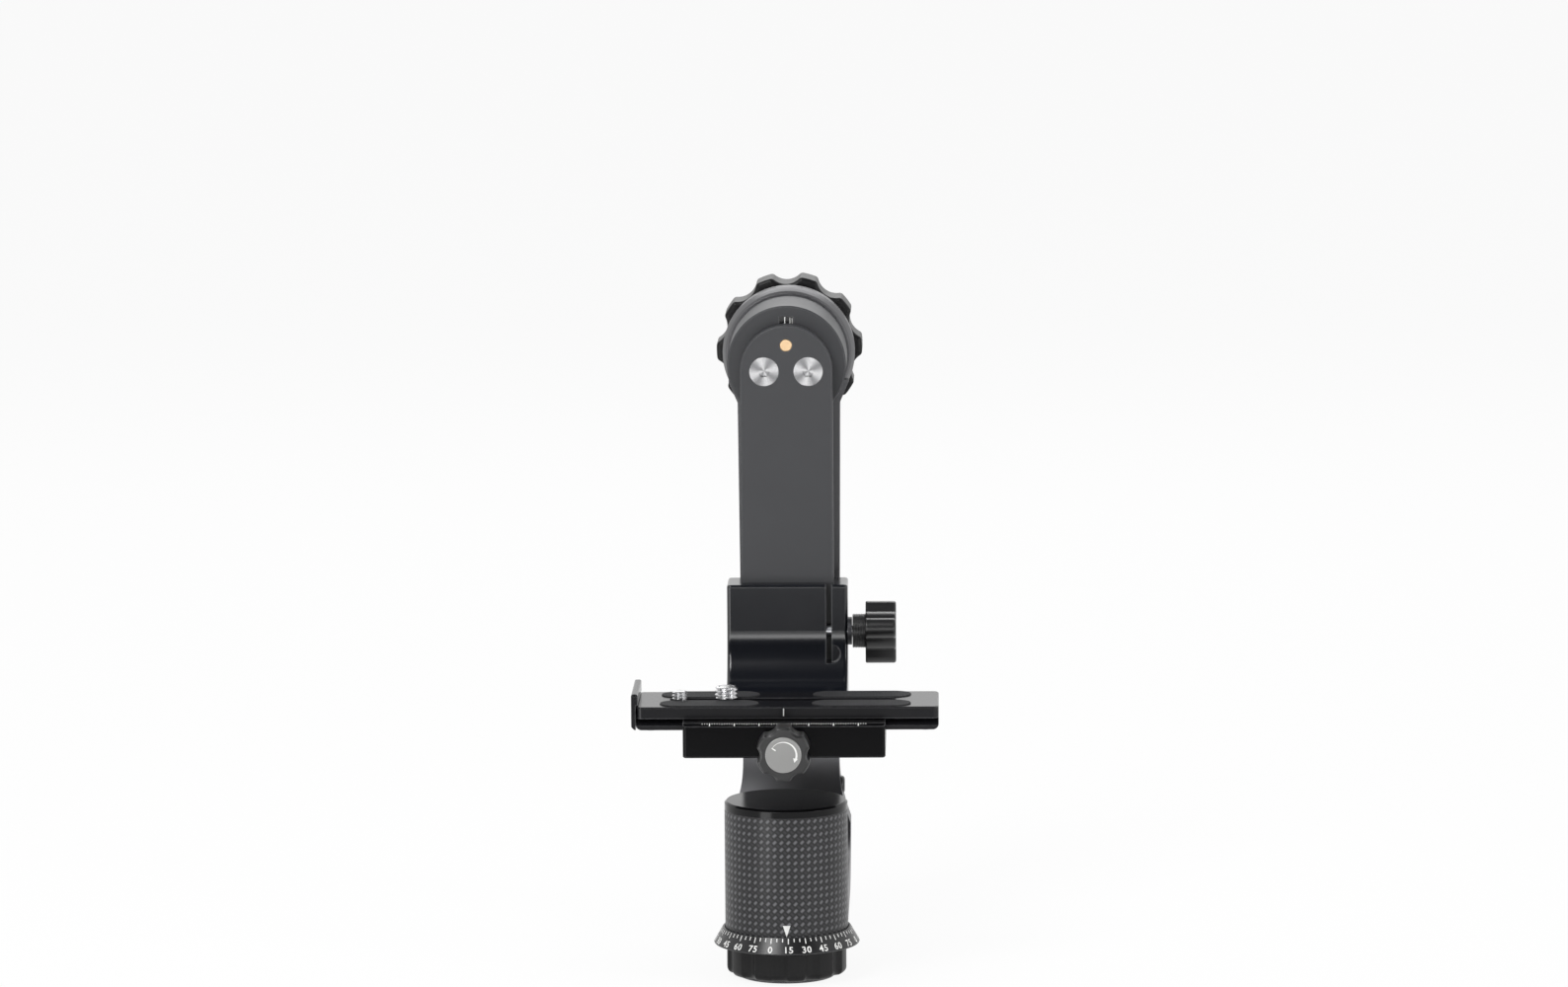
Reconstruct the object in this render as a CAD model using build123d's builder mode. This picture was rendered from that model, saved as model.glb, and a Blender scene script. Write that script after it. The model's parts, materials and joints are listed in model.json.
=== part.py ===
from build123d import *
from math import acos, cos, degrees, radians, sin, sqrt, tan
import os

os.makedirs("parts", exist_ok=True)

# Gimbal head for a long lens.  Millimetres, +Z up.  The origin is the mouth of the tripod socket, on the
# pan axis.  X runs along the lens plate, and Y runs to the back, along the tilt axis.

# ---------------------------------------------------------------- driving dimensions
# Clearances
turn_gap = 0.3            # beside pieces that turn past each other
slide_gap = 0.15          # beside the sliding plate, jaw and bracket
fit_gap = 0.04            # radial running fit of shafts, pins and screws
same_place = 0.01         # how close two places are to count as one

# Fixed base, turned about the pan axis
socket_r = 4.0            # wall of the 3/8 inch tripod socket, drawn without its thread
socket_depth = 12.0
insert_r = 7.0
disc_r = 20.0             # mounting disc that meets the tripod
disc_t = 3.0
disc_edge = 0.6
disc_screw_r = 2.0
disc_screw_ring_r = 11.8
disc_screw_length = 10.0
hub_r = 16.5              # hub that the pan lock knob runs on
flange_r = 23.0
flange_t = 3.3
lock_pin_r = 2.0
lock_pin_ring_r = 19.6
journal_r = 8.5           # spindle inside its bearings
shoulder_r = 10.5
spindle_thread_r = 7.5
spindle_thread_length = 8.0
spindle_lead = 1.0
nut_t = 5.5
nut_flats = 21.0
preload_washer_t = 1.0
preload_washer_r = 11.5

# Pan lock knob and degree ring
pan_knob_z = 1.2
pan_knob_r = 24.5
pan_knob_h = 11.3
pan_knob_lobes = 11
pan_knob_valley_r = 5.0
pan_knob_valley_depth = 1.5
pan_knob_first_valley = -96.5
pan_knob_corner_r = 1.2
pan_knob_edge_r = 2.6     # rounded lower edge
degree_ring_z = 13.7
degree_ring_h = 6.5
degree_ring_bottom_r = 29.9
degree_ring_top_r = 26.1
degree_ring_lip = 1.5     # height of the lip that the sleeve turns in
degree_ring_edge = 0.4
brake_ring_t = 2.0
brake_ring_r = 22.0

# Turret
sleeve_r = 25.1
sleeve_wall = 0.8
sleeve_top_z = 68.9
cap_t = 3.6
cap_spigot_r = 20.0
cap_spigot_h = 5.0
cap_chamfer = 0.9
bearing_outer_r = 15.0
bearing_w = 7.0
bearing_lip = 2.0         # how far a lip reaches over an outer race
lower_bearing_lip_t = 1.5
bearing_span = 20.0       # between the two pan bearings
foot_screw_ring_r = 19.7
foot_screw_r = 1.5
foot_screw_count = 6
foot_screw_length = 16.0

# Upright arm behind the turret
arm_t = 14.0
arm_front_y = 102.0
foot_z = 22.0
bend_r = 42.0             # inner radius of the bend from foot to bar
flare_r = 60.0
waist_half = 20.25
waist_z = 70.0
neck_half = 21.4
neck_taper = 23.0         # degrees from the bar's side to the ring head
ring_r = 27.7
ring_steps = ((0.0, 25.6), (1.6, 26.4), (3.8, 27.1))    # depth behind the front face, radius
ring_full_depth = 6.0     # depth at which the ring head has its full radius
ring_back_chamfer = 1.0
plug_r = 3.9
plug_h = 2.1
plug_y = 105.0
plug_z = 59.6
plug_edge_r = 1.6
plug_sink = 0.2           # depth of the plug's seat at its shallowest

# Tilt bearing housing and shaft, turned about the tilt axis
tilt_z = 242.9
housing_r = 24.6
housing_front_y = 64.4
housing_pocket = 4.0
housing_edge = 0.5
shaft_flange_r = 15.5
shaft_flange_t = 4.0
shaft_r = 10.0
shaft_thread_r = 8.0
tilt_bearing_outer_r = 16.0
tilt_bearing_w = 7.0
tilt_bearing_lip_t = 2.0
tilt_bearing_inset = 3.0  # rear bearing to the ring head
housing_screw_r = 2.0
housing_screw_ring_r = 20.2
housing_screw_count = 4
housing_screw_length = 20.0
brake_washer_t = 2.0
brake_washer_r = 15.0
index_w = 5.8
index_h = 3.9
index_t = 0.6
index_top = 20.2          # top of the index plate above the tilt axis
shaft_face_gap = 0.4      # housing to the swing arm's back face

# Tilt lock knob
tilt_knob_r = 30.6
tilt_knob_l = 21.0
tilt_knob_boss_l = 2.2
tilt_knob_boss_r = 17.0
tilt_knob_lobes = 10
tilt_knob_valley_r = 8.0
tilt_knob_valley_depth = 3.2
tilt_knob_first_valley = 20.0
tilt_knob_corner_r = 2.0
tilt_knob_edge_r = 1.6
tilt_insert_r = 11.5
tilt_insert_l = 18.0
tilt_cap_r = 16.0
tilt_cap_t = 1.6

# Swing arm in front of the housing
swing_half = 19.05
swing_t = 9.0
swing_edge = 0.4
swing_bottom_z = 97.0
swing_arc_drop = 1.6      # centre of the round top below the tilt axis
arm_screw_x = 9.1
arm_screw_r = 3.0
arm_screw_head_r = 6.0
arm_screw_length = 11.0
locating_pin_r = 2.65
locating_pin_up = 9.3
locating_pin_bite = 3.0   # length of pin in the shaft's flange
locating_pin_edge = 0.3
stop_screw_r = 1.5
stop_screw_bite = 5.0
stop_screw_z = 104.0
stop_screw_head_r = 3.0
stop_screw_head_t = 1.8

# Bracket that slides on the swing arm
bracket_half = 24.9
bracket_front_y = 48.0
bracket_back_wall = 5.8
bracket_top_z = 153.5
bracket_foot_y = 27.0
sweep_r = 25.4            # hollow sweep from the front face forward to the clamp
sweep_top_z = 134.4
bracket_edge_r = 1.6
bracket_top_edge = 1.1
bracket_back_bevel = 8.0
slit_x = 16.0
slit_w = 2.2
slit_bottom_z = 121.3
slit_relief_r = 3.6
slit_relief_back = 0.6    # flat floor of the cutter's run-out, behind the front face's level
height_axis_z = 133.8
height_screw_r = 2.5
height_screw_reach = 19.0 # length of screw inside the bracket
height_washer_r = 5.75
height_washer_t = 1.7
height_knob_collar_r = 6.8
height_knob_collar_l = 5.3
height_knob_l = 12.6
height_knob_r = 14.2
height_knob_lobe_r = 4.1
height_knob_lobes = 3
height_knob_first_lobe = 165.0
height_knob_core_r = 8.0
height_knob_outer_edge_r = 1.0
height_knob_inner_edge_r = 0.6

# Dovetail clamp
clamp_half = 40.9
clamp_bottom_z = 94.7
clamp_h = 14.0
clamp_front_y = -29.0
jaw_slope_h = 1.1         # sloped edge that holds the millimetre scale
jaw_slope_w = 2.2
jaw_split_y = -14.5       # front face of the clamp body
jaw_open_gap = 0.7
jaw_travel = 3.2
jaw_edge_r = 1.5
jaw_lower_edge = 0.5
guide_pin_x = 28.0
guide_pin_r = 2.0
guide_pin_z = 99.5
guide_pin_bite = 11.0     # length of pin in the clamp body
guide_pin_reach = 9.0     # length of pin ahead of the clamp body
spring_r = 3.8
spring_waist_r = 2.9
spring_cups = 5
spring_pocket = 8.0
clamp_bolt_x = 14.0
clamp_bolt_r = 2.0
clamp_bolt_bite = 12.0    # length of bolt in the bracket
clamp_screw_z = 98.2
clamp_screw_r = 2.5
clamp_screw_reach = 26.0  # length of screw behind the jaw's front face
clamp_washer_r = 4.2
clamp_washer_t = 0.8
clamp_knob_r = 11.1
clamp_knob_l = 12.0
clamp_knob_lobes = 6
clamp_knob_valley_r = 4.2
clamp_knob_valley_depth = 1.5
clamp_knob_corner_r = 1.2
clamp_knob_front_edge_r = 1.2
clamp_knob_back_edge_r = 0.8
clamp_cap_r = 7.3
clamp_cap_t = 1.0
clamp_cap_proud = 0.4

# Lens plate
plate_half = 61.3
plate_center_x = 1.1      # rest place of the plate along the clamp
plate_depth_half = 19.0
plate_top_z = 113.9
plate_slab_t = 4.8
plate_corner_r = 2.5
plate_edge = 0.4
dovetail_half = 18.4
dovetail_neck_half = 15.4
dovetail_h = 4.7
dovetail_end_r = 2.4
slot_left_inset = 13.2    # plate's ends to the ends of the slot
slot_right_inset = 17.4
slot_half = 3.3
head_slot_half = 7.2
head_slot_depth = 5.7
pad_l = 40.0
pad_w = 14.0
pad_recess = 0.8
pad_proud = 0.4
pad_left_inset = 29.6     # plate's ends to the middles of the pads
pad_right_inset = 31.3
pad_y = 10.8
end_stop_t = 1.8
end_stop_rise = 5.3
end_lip_t = 2.7           # lip that hooks inward above the plate
end_lip_gap = 0.7
end_lip_edge_r = 0.9
end_screw_r = 1.5
end_screw_y = 12.0
end_screw_length = 8.0
end_screw_head_r = 2.75
end_screw_head_h = 1.2
end_stop_corner_r = 1.0
end_stop_lower_edge = 1.4
peg_r = 2.2
peg_proud = 3.0
peg_inset = 5.4
peg_seat = 3.5
peg_edge = 0.4

# Captive lens screws
small_screw_inset = 17.3  # plate's left end to the small screw
lens_screw_spacing = 19.0
lens_screw_r = 3.175      # 1/4 inch thread
lens_neck_r = 2.45        # thin neck that keeps each screw captive in its washer
stud_bush_r = 4.7625      # 3/8 inch thread
small_stud_h = 3.6
large_stud_h = 5.4
lens_head_r = 5.4
lens_head_t = 3.2
lens_washer_r = 6.6
lens_washer_t = 0.8
lens_screw_lead = 0.5
lens_hex_flats = 4.0
lens_hex_depth = 1.9

# Proportions that the fasteners and bearings share
cap_head_r_share = 1.75   # of the shank's radius
cap_head_h_share = 2.0
cap_hex_share = 0.8
sunk_hex_share = 0.7
sunk_hex_depth_share = 0.8
end_hex_share = 0.6
race_share = 0.25         # of the width from bore to rim
seal_depth = 0.5

# ---------------------------------------------------------------- places worked out from the sizes
flange_z = pan_knob_z + pan_knob_h + turn_gap
flange_top_z = flange_z + flange_t
brake_ring_top_z = flange_top_z + brake_ring_t
arm_boss_z = brake_ring_top_z + turn_gap
lower_bearing_z = arm_boss_z + lower_bearing_lip_t
upper_bearing_z = lower_bearing_z + bearing_w + bearing_span
spindle_shoulder_z = upper_bearing_z + bearing_w
spindle_top_z = spindle_shoulder_z + spindle_thread_length
foot_top_z = foot_z + arm_t
sleeve_bore_r = sleeve_r - sleeve_wall
degree_ring_top_z = degree_ring_z + degree_ring_h
degree_lip_z = degree_ring_top_z - degree_ring_lip
sleeve_bottom_z = degree_lip_z + turn_gap
foot_head_r = cap_head_r_share * foot_screw_r + turn_gap
foot_head_z = arm_boss_z + cap_head_h_share * foot_screw_r + turn_gap

arm_back_y = arm_front_y + arm_t
bend_y = arm_front_y - bend_r
bend_z = foot_top_z + bend_r
tilt_axis = Axis((0, 0, tilt_z), (0, 1, 0))
housing_head_r = cap_head_r_share * housing_screw_r + turn_gap
housing_head_depth = cap_head_h_share * housing_screw_r + turn_gap
housing_head_y = arm_back_y - housing_head_depth
housing_screw_end_y = housing_head_y - housing_screw_length
index_z = tilt_z + index_top - index_h / 2

shaft_face_y = housing_front_y - shaft_face_gap
swing_front_y = shaft_face_y - swing_t
swing_arc_z = tilt_z - swing_arc_drop
front_bearing_y = housing_front_y + housing_pocket + tilt_bearing_lip_t
rear_bearing_y = arm_front_y - tilt_bearing_inset - tilt_bearing_w
brake_washer_y = arm_back_y + brake_washer_t
tilt_knob_y = brake_washer_y + turn_gap
tilt_lobes_y = tilt_knob_y + tilt_knob_boss_l
tilt_knob_end_y = tilt_lobes_y + tilt_knob_l

channel_half = swing_half + slide_gap
channel_front_y = swing_front_y - slide_gap
channel_back_y = shaft_face_y + slide_gap
bracket_back_y = channel_back_y + bracket_back_wall
height_axis_y = (bracket_front_y + channel_front_y) / 2
stop_groove_half = stop_screw_head_r + turn_gap

clamp_top_z = clamp_bottom_z + clamp_h
dovetail_bottom_z = plate_top_z - plate_slab_t - dovetail_h
slab_bottom_z = plate_top_z - plate_slab_t
clamp_floor_z = dovetail_bottom_z - slide_gap
lip_half = dovetail_half + slide_gap
flank_gap = slide_gap * sqrt(2)
jaw_top_half = dovetail_neck_half + slab_bottom_z - clamp_top_z + flank_gap
lip_top_z = slab_bottom_z - (lip_half - dovetail_neck_half - flank_gap)
jaw_back_y = jaw_split_y - jaw_open_gap
clamp_knob_back_y = clamp_front_y - clamp_washer_t - turn_gap
clamp_knob_end_y = clamp_knob_back_y - clamp_knob_l
clamp_bolt_head_r = cap_head_r_share * clamp_bolt_r
clamp_bolt_head_h = cap_head_h_share * clamp_bolt_r
clamp_bolt_face_y = jaw_split_y + clamp_bolt_head_h
head_slot_top_z = dovetail_bottom_z + head_slot_depth
plate_left_x = plate_center_x - plate_half
plate_right_x = plate_center_x + plate_half
slot_left_x = plate_left_x + slot_left_inset
slot_right_x = plate_right_x - slot_right_inset
pad_left_x = plate_left_x + pad_left_inset
pad_right_x = plate_right_x - pad_right_inset
small_screw_x = plate_left_x + small_screw_inset
large_screw_x = small_screw_x + lens_screw_spacing
pad_places = [(x, y) for x in (pad_left_x, pad_right_x) for y in (pad_y, -pad_y)]
peg_places = [(plate_right_x - peg_inset, 0), (plate_left_x + peg_inset, 0)]
end_screw_z = slab_bottom_z + plate_slab_t / 2
plug_x = waist_half + flare_r - sqrt(flare_r**2 - (waist_z - plug_z - plug_r) ** 2) - plug_sink


# ---------------------------------------------------------------- shapes used more than once
def facing_front(y, z):
    """Plane square to the tilt axis that faces the front, at depth y and centred at height z."""
    return Plane(origin=(0, y, z), x_dir=(1, 0, 0), z_dir=(0, -1, 0))


def facing_right(x, y, z):
    """Plane square to X that faces +X, with its own x axis along +Y."""
    return Plane(origin=(x, y, z), x_dir=(0, 1, 0), z_dir=(1, 0, 0))


def lobed_outline(tip_r, lobes, valley_r, valley_depth, first_valley, round_r):
    """Knob outline: a circle with a round valley between each pair of lobes, its corners rounded."""
    with BuildSketch() as outline:
        Circle(tip_r)
        with PolarLocations(tip_r + valley_r - valley_depth, lobes, start_angle=first_valley):
            Circle(valley_r, mode=Mode.SUBTRACT)
        fillet(outline.vertices(), round_r)
    return outline.sketch


def sealed_bearing(face, bore_r, outer_r, width):
    """Ball bearing with a seal recessed into each side, standing on the given plane."""
    race_t = race_share * (outer_r - bore_r)
    with BuildPart() as bearing:
        with BuildSketch(face):
            Circle(outer_r)
            Circle(bore_r, mode=Mode.SUBTRACT)
        extrude(amount=width)
        with BuildSketch(face, face.offset(width)):
            Circle(outer_r - race_t)
            Circle(bore_r + race_t, mode=Mode.SUBTRACT)
        extrude(amount=seal_depth, both=True, mode=Mode.SUBTRACT)
    return bearing.part


def cap_screw(shank_r, length):
    """Socket head screw: the head stands on the XY plane and the shank hangs below it."""
    head_r = cap_head_r_share * shank_r
    head_h = cap_head_h_share * shank_r
    with BuildPart() as screw:
        with BuildSketch(Plane.XY):
            Circle(head_r)
        extrude(amount=head_h)
        with BuildSketch(Plane.XY):
            Circle(shank_r)
        extrude(amount=-length)
        with BuildSketch(Plane.XY.offset(head_h)):
            RegularPolygon(cap_hex_share * shank_r, 6, major_radius=False)
        extrude(amount=-shank_r, mode=Mode.SUBTRACT)
    return screw.part


def countersunk_screw(shank_r, head_r, length):
    """Countersunk screw: the flat of its head lies in the XY plane and the shank hangs below it."""
    head_h = head_r - shank_r
    with BuildPart() as screw:
        with BuildSketch(Plane.XY):
            Circle(head_r)
        extrude(amount=-head_h, taper=45)
        with BuildSketch(Plane.XY):
            Circle(shank_r)
        extrude(amount=-length)
        with BuildSketch(Plane.XY):
            RegularPolygon(sunk_hex_share * shank_r, 6, major_radius=False)
        extrude(amount=-sunk_hex_depth_share * shank_r, mode=Mode.SUBTRACT)
    return screw.part


def save(part, name):
    """Name a finished piece and write it to its own file."""
    part.label = name
    export_step(part, f"parts/{name}.step")


# ---------------------------------------------------------------- fixed base
with BuildPart() as thread_insert:
    with BuildSketch(Plane.XY):
        Circle(insert_r)
        Circle(socket_r, mode=Mode.SUBTRACT)
    extrude(amount=socket_depth)
save(thread_insert.part, "thread_insert")

disc_screw_head_r = 2 * disc_screw_r
with BuildPart() as mount_disc:
    with BuildSketch(Plane.XY):
        Circle(disc_r)
        Circle(insert_r, mode=Mode.SUBTRACT)
    extrude(amount=disc_t)
    chamfer(mount_disc.edges().filter_by(GeomType.CIRCLE).group_by(SortBy.RADIUS)[-1].sort_by(Axis.Z)[0],
            disc_edge)
    with Locations(Plane.XY.rotated((180, 0, 0))):
        with PolarLocations(disc_screw_ring_r, 3):
            CounterSinkHole(disc_screw_r, disc_screw_head_r, depth=disc_t, counter_sink_angle=90)
save(mount_disc.part, "mount_disc")

disc_screw = countersunk_screw(disc_screw_r, disc_screw_head_r, disc_screw_length)
with BuildPart() as disc_screws:
    with Locations(Plane.XY.rotated((180, 0, 0))):
        with PolarLocations(disc_screw_ring_r, 3):
            add(disc_screw)
save(disc_screws.part, "disc_screws")

with BuildPart() as spindle:
    with BuildSketch(Plane.XZ):
        with BuildLine():
            Polyline(
                (0, disc_t), (hub_r, disc_t), (hub_r, flange_z), (flange_r, flange_z),
                (flange_r, flange_top_z), (shoulder_r, flange_top_z), (shoulder_r, lower_bearing_z),
                (journal_r, lower_bearing_z), (journal_r, spindle_shoulder_z),
                (spindle_thread_r, spindle_shoulder_z), (spindle_thread_r, spindle_top_z),
                (0, spindle_top_z), close=True,
            )
        make_face()
    revolve(axis=Axis.Z)
    with BuildSketch(Plane.XY):
        Circle(insert_r)
    extrude(amount=socket_depth, mode=Mode.SUBTRACT)
    with BuildSketch(Plane.XY):
        with PolarLocations(disc_screw_ring_r, 3):
            Circle(disc_screw_r)
    extrude(amount=disc_screw_length, mode=Mode.SUBTRACT)
    with BuildSketch(Plane.XY.offset(flange_z)):
        with PolarLocations(lock_pin_ring_r, 3, start_angle=60):
            Circle(lock_pin_r)
    extrude(amount=flange_t, mode=Mode.SUBTRACT)
    chamfer(spindle.faces().sort_by(Axis.Z)[-1].edges(), spindle_lead)
save(spindle.part, "spindle")

with BuildPart() as lock_pins:
    with BuildSketch(Plane.XY.offset(flange_z)):
        with PolarLocations(lock_pin_ring_r, 3, start_angle=60):
            Circle(lock_pin_r - fit_gap)
    extrude(amount=flange_t)
save(lock_pins.part, "lock_pins")

with BuildPart() as brake_ring:
    with BuildSketch(Plane.XY.offset(flange_top_z)):
        Circle(brake_ring_r)
        Circle(hub_r + turn_gap, mode=Mode.SUBTRACT)
    extrude(amount=brake_ring_t)
save(brake_ring.part, "brake_ring")

with BuildPart() as degree_ring:
    with BuildSketch(Plane.XZ):
        with BuildLine():
            Polyline(
                (flange_r, degree_ring_z), (degree_ring_bottom_r, degree_ring_z),
                (degree_ring_top_r, degree_ring_top_z), (sleeve_r + turn_gap, degree_ring_top_z),
                (sleeve_r + turn_gap, degree_lip_z), (flange_r, degree_lip_z), close=True,
            )
        make_face()
    revolve(axis=Axis.Z)
    chamfer(degree_ring.edges().filter_by(GeomType.CIRCLE).group_by(SortBy.RADIUS)[-1], degree_ring_edge)
save(degree_ring.part, "degree_ring")

with BuildPart() as pan_lock_knob:
    with BuildSketch(Plane.XY.offset(pan_knob_z)):
        add(lobed_outline(pan_knob_r, pan_knob_lobes, pan_knob_valley_r, pan_knob_valley_depth,
                          pan_knob_first_valley, pan_knob_corner_r))
    extrude(amount=pan_knob_h)
    fillet(pan_lock_knob.faces().sort_by(Axis.Z)[0].edges(), pan_knob_edge_r)
    with BuildSketch(Plane.XY.offset(pan_knob_z)):
        Circle(hub_r + turn_gap)
    extrude(amount=pan_knob_h, mode=Mode.SUBTRACT)
    with BuildSketch(Plane.XY.offset(pan_knob_z)):
        Circle(disc_r + turn_gap)
    extrude(amount=disc_t - pan_knob_z + turn_gap, mode=Mode.SUBTRACT)
save(pan_lock_knob.part, "pan_lock_knob")

spacer_z = lower_bearing_z + bearing_w
with BuildPart() as pan_spacer:
    with BuildSketch(Plane.XY.offset(spacer_z)):
        Circle(shoulder_r)
        Circle(journal_r, mode=Mode.SUBTRACT)
    extrude(amount=bearing_span)
save(pan_spacer.part, "pan_spacer")

with BuildPart() as preload_washer:
    with BuildSketch(Plane.XY.offset(spindle_shoulder_z)):
        Circle(preload_washer_r)
        Circle(spindle_thread_r, mode=Mode.SUBTRACT)
    extrude(amount=preload_washer_t)
save(preload_washer.part, "preload_washer")

nut_z = spindle_shoulder_z + preload_washer_t
with BuildPart() as spindle_nut:
    with BuildSketch(Plane.XY.offset(nut_z)):
        RegularPolygon(nut_flats / 2, 6, major_radius=False)
        Circle(spindle_thread_r, mode=Mode.SUBTRACT)
    extrude(amount=nut_t)
save(spindle_nut.part, "spindle_nut")

# ---------------------------------------------------------------- turret and upright arm
for name, z in (("pan_bearing_lower", lower_bearing_z), ("pan_bearing_upper", upper_bearing_z)):
    bearing = sealed_bearing(Plane.XY.offset(z), journal_r + fit_gap, bearing_outer_r, bearing_w)
    save(bearing, name)

neck_angle = radians(neck_taper)
neck_x = ring_r * cos(neck_angle)
neck_top_z = tilt_z - ring_r * sin(neck_angle)
neck_z = neck_top_z - (neck_x - neck_half) / tan(neck_angle)
flare_drop = sqrt(flare_r**2 - (flare_r - sleeve_r + waist_half) ** 2)
with BuildPart() as upright_arm:
    # side view: foot, bend and bar
    with BuildSketch(Plane.YZ):
        with BuildLine():
            Line((0, foot_z), (bend_y, foot_z))
            CenterArc((bend_y, bend_z), bend_r + arm_t, 270, 90)
            Polyline((arm_back_y, bend_z), (arm_back_y, tilt_z), (arm_front_y, tilt_z),
                     (arm_front_y, bend_z))
            CenterArc((bend_y, bend_z), bend_r, 270, 90)
            Polyline((bend_y, foot_top_z), (0, foot_top_z), (0, foot_z))
        make_face()
    extrude(amount=sleeve_r, both=True)
    # front view: flared foot, waist and the taper up to the ring head
    with BuildSketch(Plane.XZ):
        with BuildLine():
            Polyline((0, foot_z), (sleeve_r, foot_z), (sleeve_r, waist_z - flare_drop))
            RadiusArc((sleeve_r, waist_z - flare_drop), (waist_half, waist_z), flare_r)
            Polyline((waist_half, waist_z), (neck_half, neck_z), (neck_x, neck_top_z), (0, neck_top_z))
            mirror(about=Plane.YZ)
        make_face()
    extrude(amount=2 * arm_back_y, both=True, mode=Mode.INTERSECT)
    # ring head with its stepped front edge
    with BuildSketch(facing_right(0, 0, tilt_z)):
        with BuildLine():
            Polyline(
                (arm_back_y, 0), (arm_front_y, 0), (arm_front_y, ring_steps[0][1]),
                *[(arm_front_y + depth, radius) for depth, radius in ring_steps[1:]],
                (arm_front_y + ring_full_depth, ring_r), (arm_back_y - ring_back_chamfer, ring_r),
                (arm_back_y, ring_r - ring_back_chamfer), close=True,
            )
        make_face()
    revolve(axis=tilt_axis)
    # flange under the turret and its boss inside the degree ring
    with BuildSketch(Plane.XY.offset(foot_z)):
        Circle(sleeve_bore_r)
    extrude(amount=arm_t)
    with BuildSketch(Plane.XY.offset(arm_boss_z)):
        Circle(brake_ring_r)
    extrude(amount=foot_z - arm_boss_z)
    # seat of the lower pan bearing
    with BuildSketch(Plane.XY.offset(arm_boss_z)):
        Circle(bearing_outer_r - bearing_lip)
    extrude(amount=arm_t, mode=Mode.SUBTRACT)
    with BuildSketch(Plane.XY.offset(lower_bearing_z)):
        Circle(bearing_outer_r)
    extrude(amount=foot_top_z - lower_bearing_z, mode=Mode.SUBTRACT)
    # holes for the foot screws, sunk from below
    with BuildSketch(Plane.XY.offset(arm_boss_z)):
        with PolarLocations(foot_screw_ring_r, foot_screw_count):
            Circle(foot_screw_r)
    extrude(amount=foot_top_z - arm_boss_z, mode=Mode.SUBTRACT)
    with BuildSketch(Plane.XY.offset(arm_boss_z)):
        with PolarLocations(foot_screw_ring_r, foot_screw_count):
            Circle(foot_head_r)
    extrude(amount=foot_head_z - arm_boss_z, mode=Mode.SUBTRACT)
    # bore for the tilt shaft and holes for the housing screws, sunk from behind
    with BuildSketch(facing_front(arm_back_y, tilt_z)):
        Circle(shaft_thread_r + turn_gap)
        with PolarLocations(housing_screw_ring_r, housing_screw_count, start_angle=45):
            Circle(housing_screw_r)
    extrude(amount=arm_t, mode=Mode.SUBTRACT)
    with BuildSketch(facing_front(arm_back_y, tilt_z)):
        with PolarLocations(housing_screw_ring_r, housing_screw_count, start_angle=45):
            Circle(housing_head_r)
    extrude(amount=housing_head_depth, mode=Mode.SUBTRACT)
    # flat seat of the side plug
    with BuildSketch(facing_right(plug_x, plug_y, plug_z)):
        Circle(plug_r)
    extrude(amount=arm_t, mode=Mode.SUBTRACT)
save(upright_arm.part, "upright_arm")

foot_screw = cap_screw(foot_screw_r, foot_screw_length)
with BuildPart() as foot_screws:
    with Locations(Plane.XY.offset(foot_head_z).rotated((180, 0, 0))):
        with PolarLocations(foot_screw_ring_r, foot_screw_count):
            add(foot_screw)
save(foot_screws.part, "foot_screws")

with BuildPart() as pan_housing:
    with BuildSketch(Plane.XY.offset(foot_top_z)):
        Circle(sleeve_bore_r)
    extrude(amount=sleeve_top_z - foot_top_z)
    with BuildSketch(Plane.XY.offset(foot_top_z)):
        Circle(bearing_outer_r - bearing_lip)
    extrude(amount=sleeve_top_z - foot_top_z, mode=Mode.SUBTRACT)
    with BuildSketch(Plane.XY.offset(upper_bearing_z)):
        Circle(bearing_outer_r)
    extrude(amount=sleeve_top_z - upper_bearing_z, mode=Mode.SUBTRACT)
    with BuildSketch(Plane.XY.offset(spindle_shoulder_z)):
        Circle(cap_spigot_r)
    extrude(amount=sleeve_top_z - spindle_shoulder_z, mode=Mode.SUBTRACT)
    with BuildSketch(Plane.XY.offset(foot_top_z)):
        with PolarLocations(foot_screw_ring_r, foot_screw_count):
            Circle(foot_screw_r)
    extrude(amount=foot_head_z + foot_screw_length - foot_top_z, mode=Mode.SUBTRACT)
save(pan_housing.part, "pan_housing")

# the sleeve wraps the housing; its lower rear half is cut away for the arm's foot
with BuildPart() as carbon_sleeve:
    with BuildSketch(Plane.XY.offset(sleeve_bottom_z)):
        Circle(sleeve_r)
        Circle(sleeve_bore_r, mode=Mode.SUBTRACT)
    extrude(amount=sleeve_top_z - sleeve_bottom_z)
    with BuildSketch(Plane.XY.offset(sleeve_bottom_z)):
        with Locations((0, sleeve_r)):
            Rectangle(3 * sleeve_r, 2 * sleeve_r)
    extrude(amount=foot_top_z - sleeve_bottom_z, mode=Mode.SUBTRACT)
save(carbon_sleeve.part, "carbon_sleeve")

with BuildPart() as top_cap:
    with BuildSketch(Plane.XY.offset(sleeve_top_z)):
        Circle(sleeve_r)
    extrude(amount=cap_t)
    chamfer(top_cap.faces().sort_by(Axis.Z)[-1].edges(), cap_chamfer)
    with BuildSketch(Plane.XY.offset(sleeve_top_z)):
        Circle(cap_spigot_r)
    extrude(amount=-cap_spigot_h)
save(top_cap.part, "top_cap")

with BuildPart() as side_plug:
    with BuildSketch(facing_right(plug_x, plug_y, plug_z)):
        Circle(plug_r)
    extrude(amount=plug_h)
    fillet(side_plug.faces().sort_by(Axis.X)[-1].edges(), plug_edge_r)
save(side_plug.part, "side_plug")

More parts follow.
